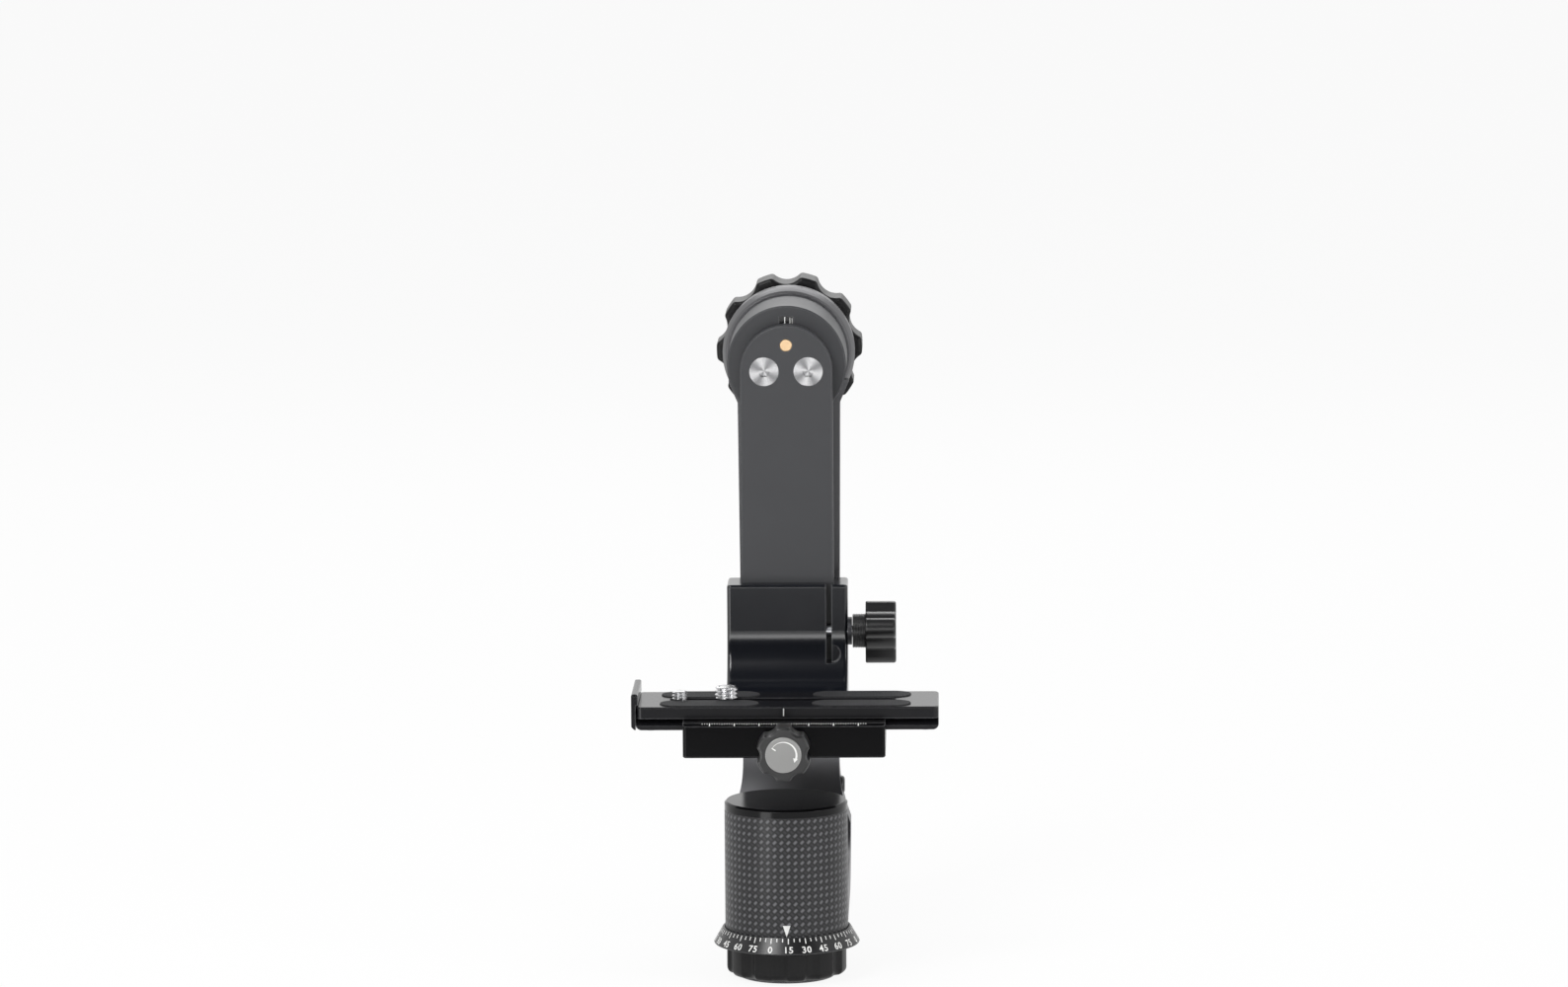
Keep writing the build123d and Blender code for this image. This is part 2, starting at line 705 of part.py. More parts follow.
with BuildPart() as tilt_housing:
    with BuildSketch(facing_front(arm_front_y, tilt_z)):
        Circle(housing_r)
    extrude(amount=arm_front_y - housing_front_y)
    chamfer(tilt_housing.faces().sort_by(Axis.Y)[0].edges(), housing_edge)
    with BuildSketch(facing_front(arm_front_y, tilt_z)):
        Circle(tilt_bearing_outer_r - bearing_lip)
    extrude(amount=arm_front_y - housing_front_y, mode=Mode.SUBTRACT)
    with BuildSketch(facing_front(arm_front_y, tilt_z)):
        Circle(tilt_bearing_outer_r)
    extrude(amount=arm_front_y - front_bearing_y, mode=Mode.SUBTRACT)
    with BuildSketch(facing_front(housing_front_y, tilt_z)):
        Circle(shaft_flange_r + turn_gap)
    extrude(amount=-housing_pocket, mode=Mode.SUBTRACT)
    with BuildSketch(facing_front(arm_front_y, tilt_z)):
        with PolarLocations(housing_screw_ring_r, housing_screw_count, start_angle=45):
            Circle(housing_screw_r)
    extrude(amount=arm_front_y - housing_screw_end_y, mode=Mode.SUBTRACT)
    with BuildSketch(facing_front(housing_front_y, index_z)):
        Rectangle(index_w, index_h)
    extrude(amount=-index_t, mode=Mode.SUBTRACT)
save(tilt_housing.part, "tilt_housing")

housing_screw = cap_screw(housing_screw_r, housing_screw_length)
with BuildPart() as housing_screws:
    with Locations(facing_front(housing_head_y, tilt_z).rotated((180, 0, 0))):
        with PolarLocations(housing_screw_ring_r, housing_screw_count, start_angle=45):
            add(housing_screw)
save(housing_screws.part, "housing_screws")

for name, y in (("tilt_bearing_front", front_bearing_y), ("tilt_bearing_rear", rear_bearing_y)):
    face = facing_front(y + tilt_bearing_w, tilt_z)
    bearing = sealed_bearing(face, shaft_r + fit_gap, tilt_bearing_outer_r, tilt_bearing_w)
    save(bearing, name)

with BuildPart() as tilt_brake_washer:
    with BuildSketch(facing_front(brake_washer_y, tilt_z)):
        Circle(brake_washer_r)
        Circle(shaft_thread_r + turn_gap, mode=Mode.SUBTRACT)
    extrude(amount=brake_washer_t)
save(tilt_brake_washer.part, "tilt_brake_washer")

with BuildPart() as tilt_index:
    with BuildSketch(facing_front(housing_front_y, index_z)):
        Rectangle(index_w, index_h)
    extrude(amount=-index_t)
save(tilt_index.part, "tilt_index")

# ---------------------------------------------------------------- swinging shaft and arm
shaft_end_y = tilt_knob_end_y - tilt_cap_t - 2 * turn_gap
with BuildPart() as tilt_shaft:
    with BuildSketch(facing_right(0, 0, tilt_z)):
        with BuildLine():
            Polyline(
                (shaft_face_y, 0), (shaft_face_y, shaft_flange_r),
                (shaft_face_y + shaft_flange_t, shaft_flange_r), (shaft_face_y + shaft_flange_t, shaft_r),
                (rear_bearing_y + tilt_bearing_w, shaft_r),
                (rear_bearing_y + tilt_bearing_w, shaft_thread_r),
                (shaft_end_y, shaft_thread_r), (shaft_end_y, 0), close=True,
            )
        make_face()
    revolve(axis=tilt_axis)
    with BuildSketch(facing_front(shaft_face_y, swing_arc_z)):
        with Locations((arm_screw_x, 0), (-arm_screw_x, 0)):
            Circle(arm_screw_r)
    extrude(amount=-(arm_screw_length - swing_t), mode=Mode.SUBTRACT)
    with BuildSketch(facing_front(shaft_face_y, tilt_z + locating_pin_up)):
        Circle(locating_pin_r)
    extrude(amount=-locating_pin_bite, mode=Mode.SUBTRACT)
save(tilt_shaft.part, "tilt_shaft")

with BuildPart() as tilt_spacer:
    with BuildSketch(facing_front(rear_bearing_y, tilt_z)):
        Circle(shaft_r + bearing_lip)
        Circle(shaft_r, mode=Mode.SUBTRACT)
    extrude(amount=rear_bearing_y - front_bearing_y - tilt_bearing_w)
save(tilt_spacer.part, "tilt_spacer")

with BuildPart() as swing_arm:
    with BuildSketch(facing_front(shaft_face_y, swing_arc_z)):
        Circle(swing_half)
        with Locations((0, -(swing_arc_z - swing_bottom_z) / 2)):
            Rectangle(2 * swing_half, swing_arc_z - swing_bottom_z)
    extrude(amount=swing_t)
    chamfer(swing_arm.faces().sort_by(Axis.Y)[0].edges(), swing_edge)
    chamfer(swing_arm.faces().sort_by(Axis.Y)[-1].edges(), swing_edge)
    with Locations(facing_front(swing_front_y, swing_arc_z)):
        with Locations((arm_screw_x, 0), (-arm_screw_x, 0)):
            CounterSinkHole(arm_screw_r, arm_screw_head_r, depth=swing_t, counter_sink_angle=90)
    with BuildSketch(facing_front(swing_front_y, tilt_z + locating_pin_up)):
        Circle(locating_pin_r)
    extrude(amount=-swing_t, mode=Mode.SUBTRACT)
    with BuildSketch(facing_front(shaft_face_y, stop_screw_z)):
        Circle(stop_screw_r)
    extrude(amount=stop_screw_bite, mode=Mode.SUBTRACT)
save(swing_arm.part, "swing_arm")

arm_screw = countersunk_screw(arm_screw_r, arm_screw_head_r, arm_screw_length)
with BuildPart() as arm_screws:
    with Locations(facing_front(swing_front_y, swing_arc_z)):
        with Locations((arm_screw_x, 0), (-arm_screw_x, 0)):
            add(arm_screw)
save(arm_screws.part, "arm_screws")

with BuildPart() as locating_pin:
    with BuildSketch(facing_front(swing_front_y, tilt_z + locating_pin_up)):
        Circle(locating_pin_r)
    extrude(amount=-swing_t - locating_pin_bite)
    chamfer(locating_pin.faces().sort_by(Axis.Y)[0].edges(), locating_pin_edge)
save(locating_pin.part, "locating_pin")

with BuildPart() as arm_stop_screw:
    with BuildSketch(facing_front(shaft_face_y, stop_screw_z)):
        Circle(stop_screw_r)
    extrude(amount=stop_screw_bite)
    with BuildSketch(facing_front(shaft_face_y, stop_screw_z)):
        Circle(stop_screw_head_r)
    extrude(amount=-stop_screw_head_t)
save(arm_stop_screw.part, "arm_stop_screw")

# ---------------------------------------------------------------- tilt lock knob
with BuildPart() as tilt_knob:
    with BuildSketch(facing_front(tilt_knob_end_y, tilt_z)):
        add(lobed_outline(tilt_knob_r, tilt_knob_lobes, tilt_knob_valley_r, tilt_knob_valley_depth,
                          tilt_knob_first_valley, tilt_knob_corner_r))
    extrude(amount=tilt_knob_l)
    fillet(tilt_knob.faces().sort_by(Axis.Y)[-1].edges(), tilt_knob_edge_r)
    fillet(tilt_knob.faces().sort_by(Axis.Y)[0].edges(), tilt_knob_edge_r)
    with BuildSketch(facing_front(tilt_lobes_y, tilt_z)):
        Circle(tilt_knob_boss_r)
    extrude(amount=tilt_knob_boss_l)
    with BuildSketch(facing_front(tilt_knob_y, tilt_z)):
        Circle(tilt_insert_r)
    extrude(amount=-tilt_insert_l, mode=Mode.SUBTRACT)
    with BuildSketch(facing_front(tilt_knob_y, tilt_z)):
        Circle(shaft_thread_r + turn_gap)
    extrude(amount=-tilt_knob_boss_l - tilt_knob_l, mode=Mode.SUBTRACT)
    with BuildSketch(facing_front(tilt_knob_end_y, tilt_z)):
        Circle(tilt_cap_r)
    extrude(amount=tilt_cap_t, mode=Mode.SUBTRACT)
save(tilt_knob.part, "tilt_knob")

with BuildPart() as tilt_knob_insert:
    with BuildSketch(facing_front(tilt_knob_y, tilt_z)):
        Circle(tilt_insert_r)
        Circle(shaft_thread_r + fit_gap, mode=Mode.SUBTRACT)
    extrude(amount=-tilt_insert_l)
save(tilt_knob_insert.part, "tilt_knob_insert")

with BuildPart() as tilt_knob_cap:
    with BuildSketch(facing_front(tilt_knob_end_y, tilt_z)):
        Circle(tilt_cap_r)
    extrude(amount=tilt_cap_t)
save(tilt_knob_cap.part, "tilt_knob_cap")

# ---------------------------------------------------------------- sliding bracket
sweep_center_y = bracket_front_y - sweep_r
sweep_angle = degrees(acos((bracket_foot_y - sweep_center_y) / sweep_r))
with BuildPart() as bracket:
    # side view: block round the swing arm, sweeping forward to the clamp
    with BuildSketch(Plane.YZ):
        with BuildLine():
            sweep = CenterArc((sweep_center_y, sweep_top_z), sweep_r, 0, -sweep_angle)
            Polyline(
                sweep @ 1, (bracket_foot_y, clamp_bottom_z),
                (bracket_back_y - bracket_back_bevel, clamp_bottom_z),
                (bracket_back_y, clamp_bottom_z + bracket_back_bevel),
                (bracket_back_y, bracket_top_z), (bracket_front_y, bracket_top_z), sweep @ 0,
            )
        make_face()
    extrude(amount=bracket_half, both=True)
    side_edges = bracket.edges().filter_by(
        lambda e: abs(abs(e.center().X) - bracket_half) < same_place and e.center().Z > clamp_top_z
        and (e.center().Y < bracket_front_y + same_place or e.center().Y > bracket_back_y - same_place)
    )
    fillet(side_edges, bracket_edge_r)
    fillet(bracket.faces().sort_by(Axis.Z)[-1].outer_wire().edges(), bracket_top_edge)
    # channel for the swing arm
    with BuildSketch(Plane.XY.offset(clamp_bottom_z)):
        with Locations((0, (channel_front_y + channel_back_y) / 2)):
            Rectangle(2 * channel_half, channel_back_y - channel_front_y)
    extrude(amount=bracket_top_z - clamp_bottom_z, mode=Mode.SUBTRACT)
    # groove that clears the stop screw, open below
    with BuildSketch(facing_front(channel_back_y, clamp_bottom_z)):
        with Locations((0, (stop_screw_z - clamp_bottom_z) / 2)):
            Rectangle(2 * stop_groove_half, stop_screw_z - clamp_bottom_z)
        with Locations((0, stop_screw_z - clamp_bottom_z)):
            Circle(stop_groove_half)
    extrude(amount=-stop_screw_head_t - turn_gap, mode=Mode.SUBTRACT)
    # slit that frees the clamping side, and the cutter's round run-out beside it
    with BuildSketch(facing_front(bracket_foot_y, slit_bottom_z)):
        with Locations((slit_x + slit_w / 2, (bracket_top_z - slit_bottom_z) / 2)):
            Rectangle(slit_w, bracket_top_z - slit_bottom_z)
    extrude(amount=-(channel_front_y - bracket_foot_y), mode=Mode.SUBTRACT)
    with BuildSketch(facing_front(bracket_foot_y, slit_bottom_z + slit_relief_r)):
        with Locations((slit_x + slit_w, 0)):
            Circle(slit_relief_r)
            Rectangle(slit_relief_r, 2 * slit_relief_r, align=(Align.MIN, Align.CENTER), mode=Mode.INTERSECT)
    extrude(amount=-(bracket_front_y - slit_relief_back - bracket_foot_y), mode=Mode.SUBTRACT)
    # height screw: clear on the clamping side, threaded beyond the slit
    with BuildSketch(facing_right(bracket_half, height_axis_y, height_axis_z)):
        Circle(height_screw_r + fit_gap)
    extrude(amount=-height_screw_reach - turn_gap, mode=Mode.SUBTRACT)
    # threads of the clamp bolts
    with BuildSketch(facing_front(bracket_foot_y, guide_pin_z)):
        with Locations((clamp_bolt_x, 0), (-clamp_bolt_x, 0)):
            Circle(clamp_bolt_r)
    extrude(amount=-clamp_bolt_bite, mode=Mode.SUBTRACT)
save(bracket.part, "bracket")

with BuildPart() as height_washer:
    with BuildSketch(facing_right(bracket_half, height_axis_y, height_axis_z)):
        Circle(height_washer_r)
        Circle(height_screw_r + turn_gap, mode=Mode.SUBTRACT)
    extrude(amount=height_washer_t)
save(height_washer.part, "height_washer")

height_collar_x = bracket_half + height_washer_t + turn_gap
height_head_x = height_collar_x + height_knob_collar_l
with BuildPart() as height_screw:
    with BuildSketch(facing_right(bracket_half - height_screw_reach, height_axis_y, height_axis_z)):
        Circle(height_screw_r)
    extrude(amount=height_head_x - bracket_half + height_screw_reach + height_knob_l / 2)
save(height_screw.part, "height_screw")

with BuildPart() as height_knob:
    with BuildSketch(facing_right(height_head_x, height_axis_y, height_axis_z)):
        Circle(height_knob_core_r)
        with PolarLocations(height_knob_r - height_knob_lobe_r, height_knob_lobes,
                            start_angle=height_knob_first_lobe):
            Circle(height_knob_lobe_r)
            with Locations((-(height_knob_r - height_knob_lobe_r) / 2, 0)):
                Rectangle(height_knob_r - height_knob_lobe_r, 2 * height_knob_lobe_r)
    extrude(amount=height_knob_l)
    fillet(height_knob.faces().sort_by(Axis.X)[-1].edges(), height_knob_outer_edge_r)
    fillet(height_knob.faces().sort_by(Axis.X)[0].edges(), height_knob_inner_edge_r)
    with BuildSketch(facing_right(height_head_x, height_axis_y, height_axis_z)):
        Circle(height_knob_collar_r)
    extrude(amount=-height_knob_collar_l)
    with BuildSketch(facing_right(height_collar_x, height_axis_y, height_axis_z)):
        Circle(height_screw_r)
    extrude(amount=height_knob_collar_l + height_knob_l / 2, mode=Mode.SUBTRACT)
save(height_knob.part, "height_knob")

# ---------------------------------------------------------------- dovetail clamp
with BuildPart() as clamp_body:
    with BuildSketch(Plane.YZ):
        with BuildLine():
            Polyline(
                (jaw_split_y, clamp_bottom_z), (bracket_foot_y, clamp_bottom_z),
                (bracket_foot_y, clamp_top_z), (jaw_top_half, clamp_top_z), (lip_half, lip_top_z),
                (lip_half, clamp_floor_z), (jaw_split_y, clamp_floor_z), close=True,
            )
        make_face()
    extrude(amount=clamp_half, both=True)
    fillet(clamp_body.edges().filter_by(Axis.Z).group_by(Axis.Y)[-1], jaw_edge_r)
    with BuildSketch(facing_front(jaw_split_y, guide_pin_z)):
        with Locations((guide_pin_x, 0), (-guide_pin_x, 0)):
            Circle(spring_r + turn_gap)
    extrude(amount=-spring_pocket, mode=Mode.SUBTRACT)
    with BuildSketch(facing_front(jaw_split_y, guide_pin_z)):
        with Locations((guide_pin_x, 0), (-guide_pin_x, 0)):
            Circle(guide_pin_r)
    extrude(amount=-guide_pin_bite, mode=Mode.SUBTRACT)
    with BuildSketch(facing_front(jaw_split_y, guide_pin_z)):
        with Locations((clamp_bolt_x, 0), (-clamp_bolt_x, 0)):
            Circle(clamp_bolt_r)
    extrude(amount=-(bracket_foot_y - jaw_split_y), mode=Mode.SUBTRACT)
    with BuildSketch(facing_front(jaw_split_y, guide_pin_z)):
        with Locations((clamp_bolt_x, 0), (-clamp_bolt_x, 0)):
            Circle(clamp_bolt_head_r + turn_gap)
    extrude(amount=jaw_split_y - clamp_bolt_face_y, mode=Mode.SUBTRACT)
    with BuildSketch(facing_front(jaw_split_y, clamp_screw_z)):
        Circle(clamp_screw_r + fit_gap)
    extrude(amount=-(clamp_screw_reach + clamp_front_y - jaw_split_y) - turn_gap, mode=Mode.SUBTRACT)
save(clamp_body.part, "clamp_body")

clamp_bolt = cap_screw(clamp_bolt_r, bracket_foot_y + clamp_bolt_bite - clamp_bolt_face_y)
with BuildPart() as clamp_bolts:
    with Locations(facing_front(clamp_bolt_face_y, guide_pin_z)):
        with Locations((clamp_bolt_x, 0), (-clamp_bolt_x, 0)):
            add(clamp_bolt)
save(clamp_bolts.part, "clamp_bolts")

with BuildPart() as guide_pins:
    with BuildSketch(facing_front(jaw_split_y, guide_pin_z)):
        with Locations((guide_pin_x, 0), (-guide_pin_x, 0)):
            Circle(guide_pin_r)
    extrude(amount=-guide_pin_bite)
    with BuildSketch(facing_front(jaw_split_y, guide_pin_z)):
        with Locations((guide_pin_x, 0), (-guide_pin_x, 0)):
            Circle(guide_pin_r)
    extrude(amount=guide_pin_reach)
save(guide_pins.part, "guide_pins")

# stacks of cupped spring washers that push the jaw open, one round each guide pin
cup_t = (spring_pocket - turn_gap) / spring_cups
with BuildPart() as jaw_springs:
    for x in (guide_pin_x, -guide_pin_x):
        with BuildSketch(facing_right(x, jaw_split_y + spring_pocket, guide_pin_z)):
            for cup in range(spring_cups):
                with BuildLine():
                    Polyline(
                        (-cup * cup_t, guide_pin_r + fit_gap), (-cup * cup_t, spring_waist_r),
                        (-(cup + 0.5) * cup_t, spring_r), (-(cup + 1) * cup_t, spring_waist_r),
                        (-(cup + 1) * cup_t, guide_pin_r + fit_gap), close=True,
                    )
                make_face()
        revolve(axis=Axis((x, 0, guide_pin_z), (0, 1, 0)))
save(jaw_springs.part, "jaw_springs")

with BuildPart() as clamp_jaw:
    with BuildSketch(Plane.YZ):
        with BuildLine():
            Polyline(
                (jaw_back_y, clamp_bottom_z), (clamp_front_y, clamp_bottom_z),
                (clamp_front_y, clamp_top_z - jaw_slope_h), (clamp_front_y + jaw_slope_w, clamp_top_z),
                (-jaw_top_half, clamp_top_z), (-lip_half, lip_top_z), (-lip_half, clamp_floor_z),
                (jaw_back_y, clamp_floor_z), close=True,
            )
        make_face()
    extrude(amount=clamp_half, both=True)
    front_corners = clamp_jaw.edges().filter_by(Axis.Z).group_by(Axis.Y)[0]
    fillet(front_corners, jaw_edge_r)
    chamfer(clamp_jaw.faces().sort_by(Axis.Y)[0].outer_wire().edges().group_by(Axis.Z)[0], jaw_lower_edge)
    with BuildSketch(facing_front(jaw_back_y, guide_pin_z)):
        with Locations((guide_pin_x, 0), (-guide_pin_x, 0)):
            Circle(guide_pin_r + fit_gap)
    extrude(amount=guide_pin_reach + 2 * turn_gap, mode=Mode.SUBTRACT)
    with BuildSketch(facing_front(jaw_back_y, clamp_screw_z)):
        Circle(clamp_screw_r + turn_gap)
    extrude(amount=jaw_back_y - clamp_front_y, mode=Mode.SUBTRACT)
save(clamp_jaw.part, "clamp_jaw")

with BuildPart() as clamp_washer:
    with BuildSketch(facing_front(clamp_front_y, clamp_screw_z)):
        Circle(clamp_washer_r)
        Circle(clamp_screw_r + turn_gap, mode=Mode.SUBTRACT)
    extrude(amount=clamp_washer_t)
save(clamp_washer.part, "clamp_washer")

with BuildPart() as clamp_screw:
    with BuildSketch(facing_front(clamp_front_y + clamp_screw_reach, clamp_screw_z)):
        Circle(clamp_screw_r)
    extrude(amount=clamp_front_y + clamp_screw_reach - clamp_knob_back_y + clamp_knob_l / 2)
save(clamp_screw.part, "clamp_screw")

with BuildPart() as clamp_knob:
    with BuildSketch(facing_front(clamp_knob_back_y, clamp_screw_z)):
        add(lobed_outline(clamp_knob_r, clamp_knob_lobes, clamp_knob_valley_r, clamp_knob_valley_depth, 0,
                          clamp_knob_corner_r))
    extrude(amount=clamp_knob_l)
    fillet(clamp_knob.faces().sort_by(Axis.Y)[0].edges(), clamp_knob_front_edge_r)
    fillet(clamp_knob.faces().sort_by(Axis.Y)[-1].edges(), clamp_knob_back_edge_r)
    with BuildSketch(facing_front(clamp_knob_back_y, clamp_screw_z)):
        Circle(clamp_screw_r)
    extrude(amount=clamp_knob_l / 2, mode=Mode.SUBTRACT)
    with BuildSketch(facing_front(clamp_knob_end_y, clamp_screw_z)):
        Circle(clamp_cap_r)
    extrude(amount=-clamp_cap_t, mode=Mode.SUBTRACT)
save(clamp_knob.part, "clamp_knob")

with BuildPart() as clamp_knob_cap:
    with BuildSketch(facing_front(clamp_knob_end_y, clamp_screw_z)):
        Circle(clamp_cap_r)
    extrude(amount=-clamp_cap_t)
    with BuildSketch(facing_front(clamp_knob_end_y, clamp_screw_z)):
        Circle(clamp_cap_r)
    extrude(amount=clamp_cap_proud)
    chamfer(clamp_knob_cap.faces().sort_by(Axis.Y)[0].edges(), clamp_cap_proud / 2)
save(clamp_knob_cap.part, "clamp_knob_cap")

# ---------------------------------------------------------------- lens plate
with BuildPart() as lens_plate:
    # slab with rounded corners
    with BuildSketch(Plane.XY.offset(slab_bottom_z)):
        with Locations((plate_center_x, 0)):
            RectangleRounded(2 * plate_half, 2 * plate_depth_half, plate_corner_r)
    extrude(amount=plate_slab_t)
    chamfer(lens_plate.faces().sort_by(Axis.Z)[-1].edges(), plate_edge)
    # dovetail rail under the slab
    with BuildSketch(facing_right(plate_left_x, 0, 0)):
        with BuildLine():
            Polyline(
                (0, dovetail_bottom_z), (dovetail_half, dovetail_bottom_z),
                (dovetail_half, slab_bottom_z - dovetail_half + dovetail_neck_half),
                (dovetail_neck_half, slab_bottom_z), (0, slab_bottom_z),
            )
            mirror(about=Plane.YZ)
        make_face()
    extrude(amount=2 * plate_half)
    rail_ends = lens_plate.edges().filter_by(Axis.Y).group_by(Axis.Z)[0]
    fillet(rail_ends, dovetail_end_r)
    # slot for the lens screws, with a wide lower part that traps their heads
    with BuildSketch(Plane.XY.offset(dovetail_bottom_z)):
        with Locations(((slot_left_x + slot_right_x) / 2, 0)):
            SlotOverall(slot_right_x - slot_left_x, 2 * slot_half)
    extrude(amount=plate_top_z - dovetail_bottom_z, mode=Mode.SUBTRACT)
    with BuildSketch(Plane.XY.offset(dovetail_bottom_z)):
        with Locations(((slot_left_x + slot_right_x) / 2, 0)):
            SlotOverall(slot_right_x - slot_left_x + 2 * (head_slot_half - slot_half), 2 * head_slot_half)
    extrude(amount=head_slot_depth, mode=Mode.SUBTRACT)
    # recesses for the grip pads
    with BuildSketch(Plane.XY.offset(plate_top_z)):
        with Locations(*pad_places):
            SlotOverall(pad_l, pad_w)
    extrude(amount=-pad_recess, mode=Mode.SUBTRACT)
    # threads of the end stop screws and seats of the stop pegs
    with BuildSketch(facing_right(plate_left_x, 0, end_screw_z)):
        with Locations((end_screw_y, 0), (-end_screw_y, 0)):
            Circle(end_screw_r)
    extrude(amount=end_screw_length - end_stop_t, mode=Mode.SUBTRACT)
    with BuildSketch(Plane.XY.offset(dovetail_bottom_z)):
        with Locations(*peg_places):
            Circle(peg_r)
    extrude(amount=peg_seat, mode=Mode.SUBTRACT)
save(lens_plate.part, "lens_plate")

with BuildPart() as grip_pads:
    with BuildSketch(Plane.XY.offset(plate_top_z - pad_recess)):
        with Locations(*pad_places):
            SlotOverall(pad_l, pad_w)
    extrude(amount=pad_recess + pad_proud)
save(grip_pads.part, "grip_pads")

end_stop_top_z = plate_top_z + end_stop_rise
end_stop_x = plate_left_x - end_stop_t
with BuildPart() as end_stop:
    # side view, with the lip that hooks inward above the plate
    with BuildSketch(facing_front(-plate_depth_half, 0)) as stop_outline:
        with BuildLine():
            Polyline(
                (end_stop_x + end_stop_lower_edge, dovetail_bottom_z), (plate_left_x, dovetail_bottom_z),
                (plate_left_x, plate_top_z + end_lip_gap),
                (end_stop_x + end_lip_t, plate_top_z + end_lip_gap),
                (end_stop_x + end_lip_t, end_stop_top_z), (end_stop_x, end_stop_top_z),
                (end_stop_x, dovetail_bottom_z + end_stop_lower_edge), close=True,
            )
        make_face()
        fillet(stop_outline.vertices().group_by(Axis.Y)[-1], end_lip_edge_r)
    extrude(amount=-2 * plate_depth_half)
    with BuildSketch(facing_right(end_stop_x, 0, (dovetail_bottom_z + end_stop_top_z) / 2)):
        RectangleRounded(2 * plate_depth_half, end_stop_top_z - dovetail_bottom_z, end_stop_corner_r)
    extrude(amount=end_lip_t, mode=Mode.INTERSECT)
    with BuildSketch(facing_right(end_stop_x, 0, end_screw_z)):
        with Locations((end_screw_y, 0), (-end_screw_y, 0)):
            Circle(end_screw_r)
    extrude(amount=end_stop_t, mode=Mode.SUBTRACT)
    with BuildSketch(facing_right(end_stop_x, 0, end_screw_z)):
        with Locations((end_screw_y, 0), (-end_screw_y, 0)):
            Circle(end_screw_head_r)
    extrude(amount=end_screw_head_h, mode=Mode.SUBTRACT)
save(end_stop.part, "end_stop")

with BuildPart() as end_stop_screws:
    for y in (end_screw_y, -end_screw_y):
        with BuildSketch(facing_right(end_stop_x, y, end_screw_z)):
            Circle(end_screw_head_r)
        extrude(amount=end_screw_head_h)
        with BuildSketch(facing_right(end_stop_x, y, end_screw_z)):
            Circle(end_screw_r)
        extrude(amount=end_screw_length)
        with BuildSketch(facing_right(end_stop_x, y, end_screw_z)):
            RegularPolygon(end_hex_share * end_screw_r, 6, major_radius=False)
        extrude(amount=end_screw_head_h, mode=Mode.SUBTRACT)
save(end_stop_screws.part, "end_stop_screws")

with BuildPart() as stop_pegs:
    with BuildSketch(Plane.XY.offset(dovetail_bottom_z - peg_proud)):
        with Locations(*peg_places):
            Circle(peg_r)
    extrude(amount=peg_proud + peg_seat)
    chamfer(stop_pegs.faces().group_by(Axis.Z)[0].edges(), peg_edge)
save(stop_pegs.part, "stop_pegs")

# ---------------------------------------------------------------- captive lens screws
washer_z = head_slot_top_z - slide_gap - lens_washer_t
head_z = washer_z - fit_gap - lens_head_t
stud_z = plate_top_z + pad_proud + slide_gap
for name, x in (("screw_washer_left", small_screw_x), ("screw_washer_right", large_screw_x)):
    with BuildPart() as washer:
        with BuildSketch(Plane.XY.offset(washer_z)):
            with Locations((x, 0)):
                Circle(lens_washer_r)
                Circle(lens_neck_r + fit_gap, mode=Mode.SUBTRACT)
        extrude(amount=lens_washer_t)
    save(washer.part, name)

for name, x, stud_h in (("lens_screw_left", small_screw_x, small_stud_h),
                        ("lens_screw_right", large_screw_x, large_stud_h)):
    with BuildPart() as lens_screw:
        with BuildSketch(Plane.XY.offset(head_z)):
            with Locations((x, 0)):
                Circle(lens_head_r)
        extrude(amount=lens_head_t)
        with BuildSketch(Plane.XY.offset(head_z)):
            with Locations((x, 0)):
                Circle(lens_neck_r)
        extrude(amount=stud_z - head_z)
        with BuildSketch(Plane.XY.offset(stud_z)):
            with Locations((x, 0)):
                Circle(lens_screw_r)
        extrude(amount=plate_top_z + stud_h - stud_z)
        chamfer(lens_screw.faces().sort_by(Axis.Z)[-1].edges(), lens_screw_lead)
        with BuildSketch(Plane.XY.offset(head_z)):
            with Locations((x, 0)):
                RegularPolygon(lens_hex_flats / 2, 6, major_radius=False)
        extrude(amount=lens_hex_depth, mode=Mode.SUBTRACT)
    save(lens_screw.part, name)

with BuildPart() as stud_bush:
    with BuildSketch(Plane.XY.offset(stud_z)):
        with Locations((large_screw_x, 0)):
            Circle(stud_bush_r)
            Circle(lens_screw_r, mode=Mode.SUBTRACT)
    extrude(amount=plate_top_z + large_stud_h - stud_z)
save(stud_bush.part, "stud_bush")
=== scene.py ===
"""Finishes and fine pieces of a gimbal tripod head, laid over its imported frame."""
import json
from math import atan2, cos, hypot, pi, radians, sin

import bmesh
import bpy
from bpy.props import FloatProperty, FloatVectorProperty, IntProperty, PointerProperty
from mathutils import Matrix, Vector


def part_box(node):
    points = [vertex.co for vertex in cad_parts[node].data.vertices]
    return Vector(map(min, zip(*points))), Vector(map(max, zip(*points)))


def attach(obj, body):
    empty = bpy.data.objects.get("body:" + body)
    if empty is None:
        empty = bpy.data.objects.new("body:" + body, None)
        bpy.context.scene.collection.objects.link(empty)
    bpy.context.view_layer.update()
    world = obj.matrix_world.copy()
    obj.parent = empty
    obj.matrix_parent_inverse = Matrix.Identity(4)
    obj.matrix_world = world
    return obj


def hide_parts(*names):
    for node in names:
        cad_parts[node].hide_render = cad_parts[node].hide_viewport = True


bl_info = {
    "name": "Gimbal Head Finishes",
    "version": (1, 0, 0),
    "blender": (4, 5, 0),
    "location": "View3D > Sidebar > Gimbal Head",
    "description": "Finishes, scales, threads and studio for a gimbal tripod head",
    "category": "Object",
}

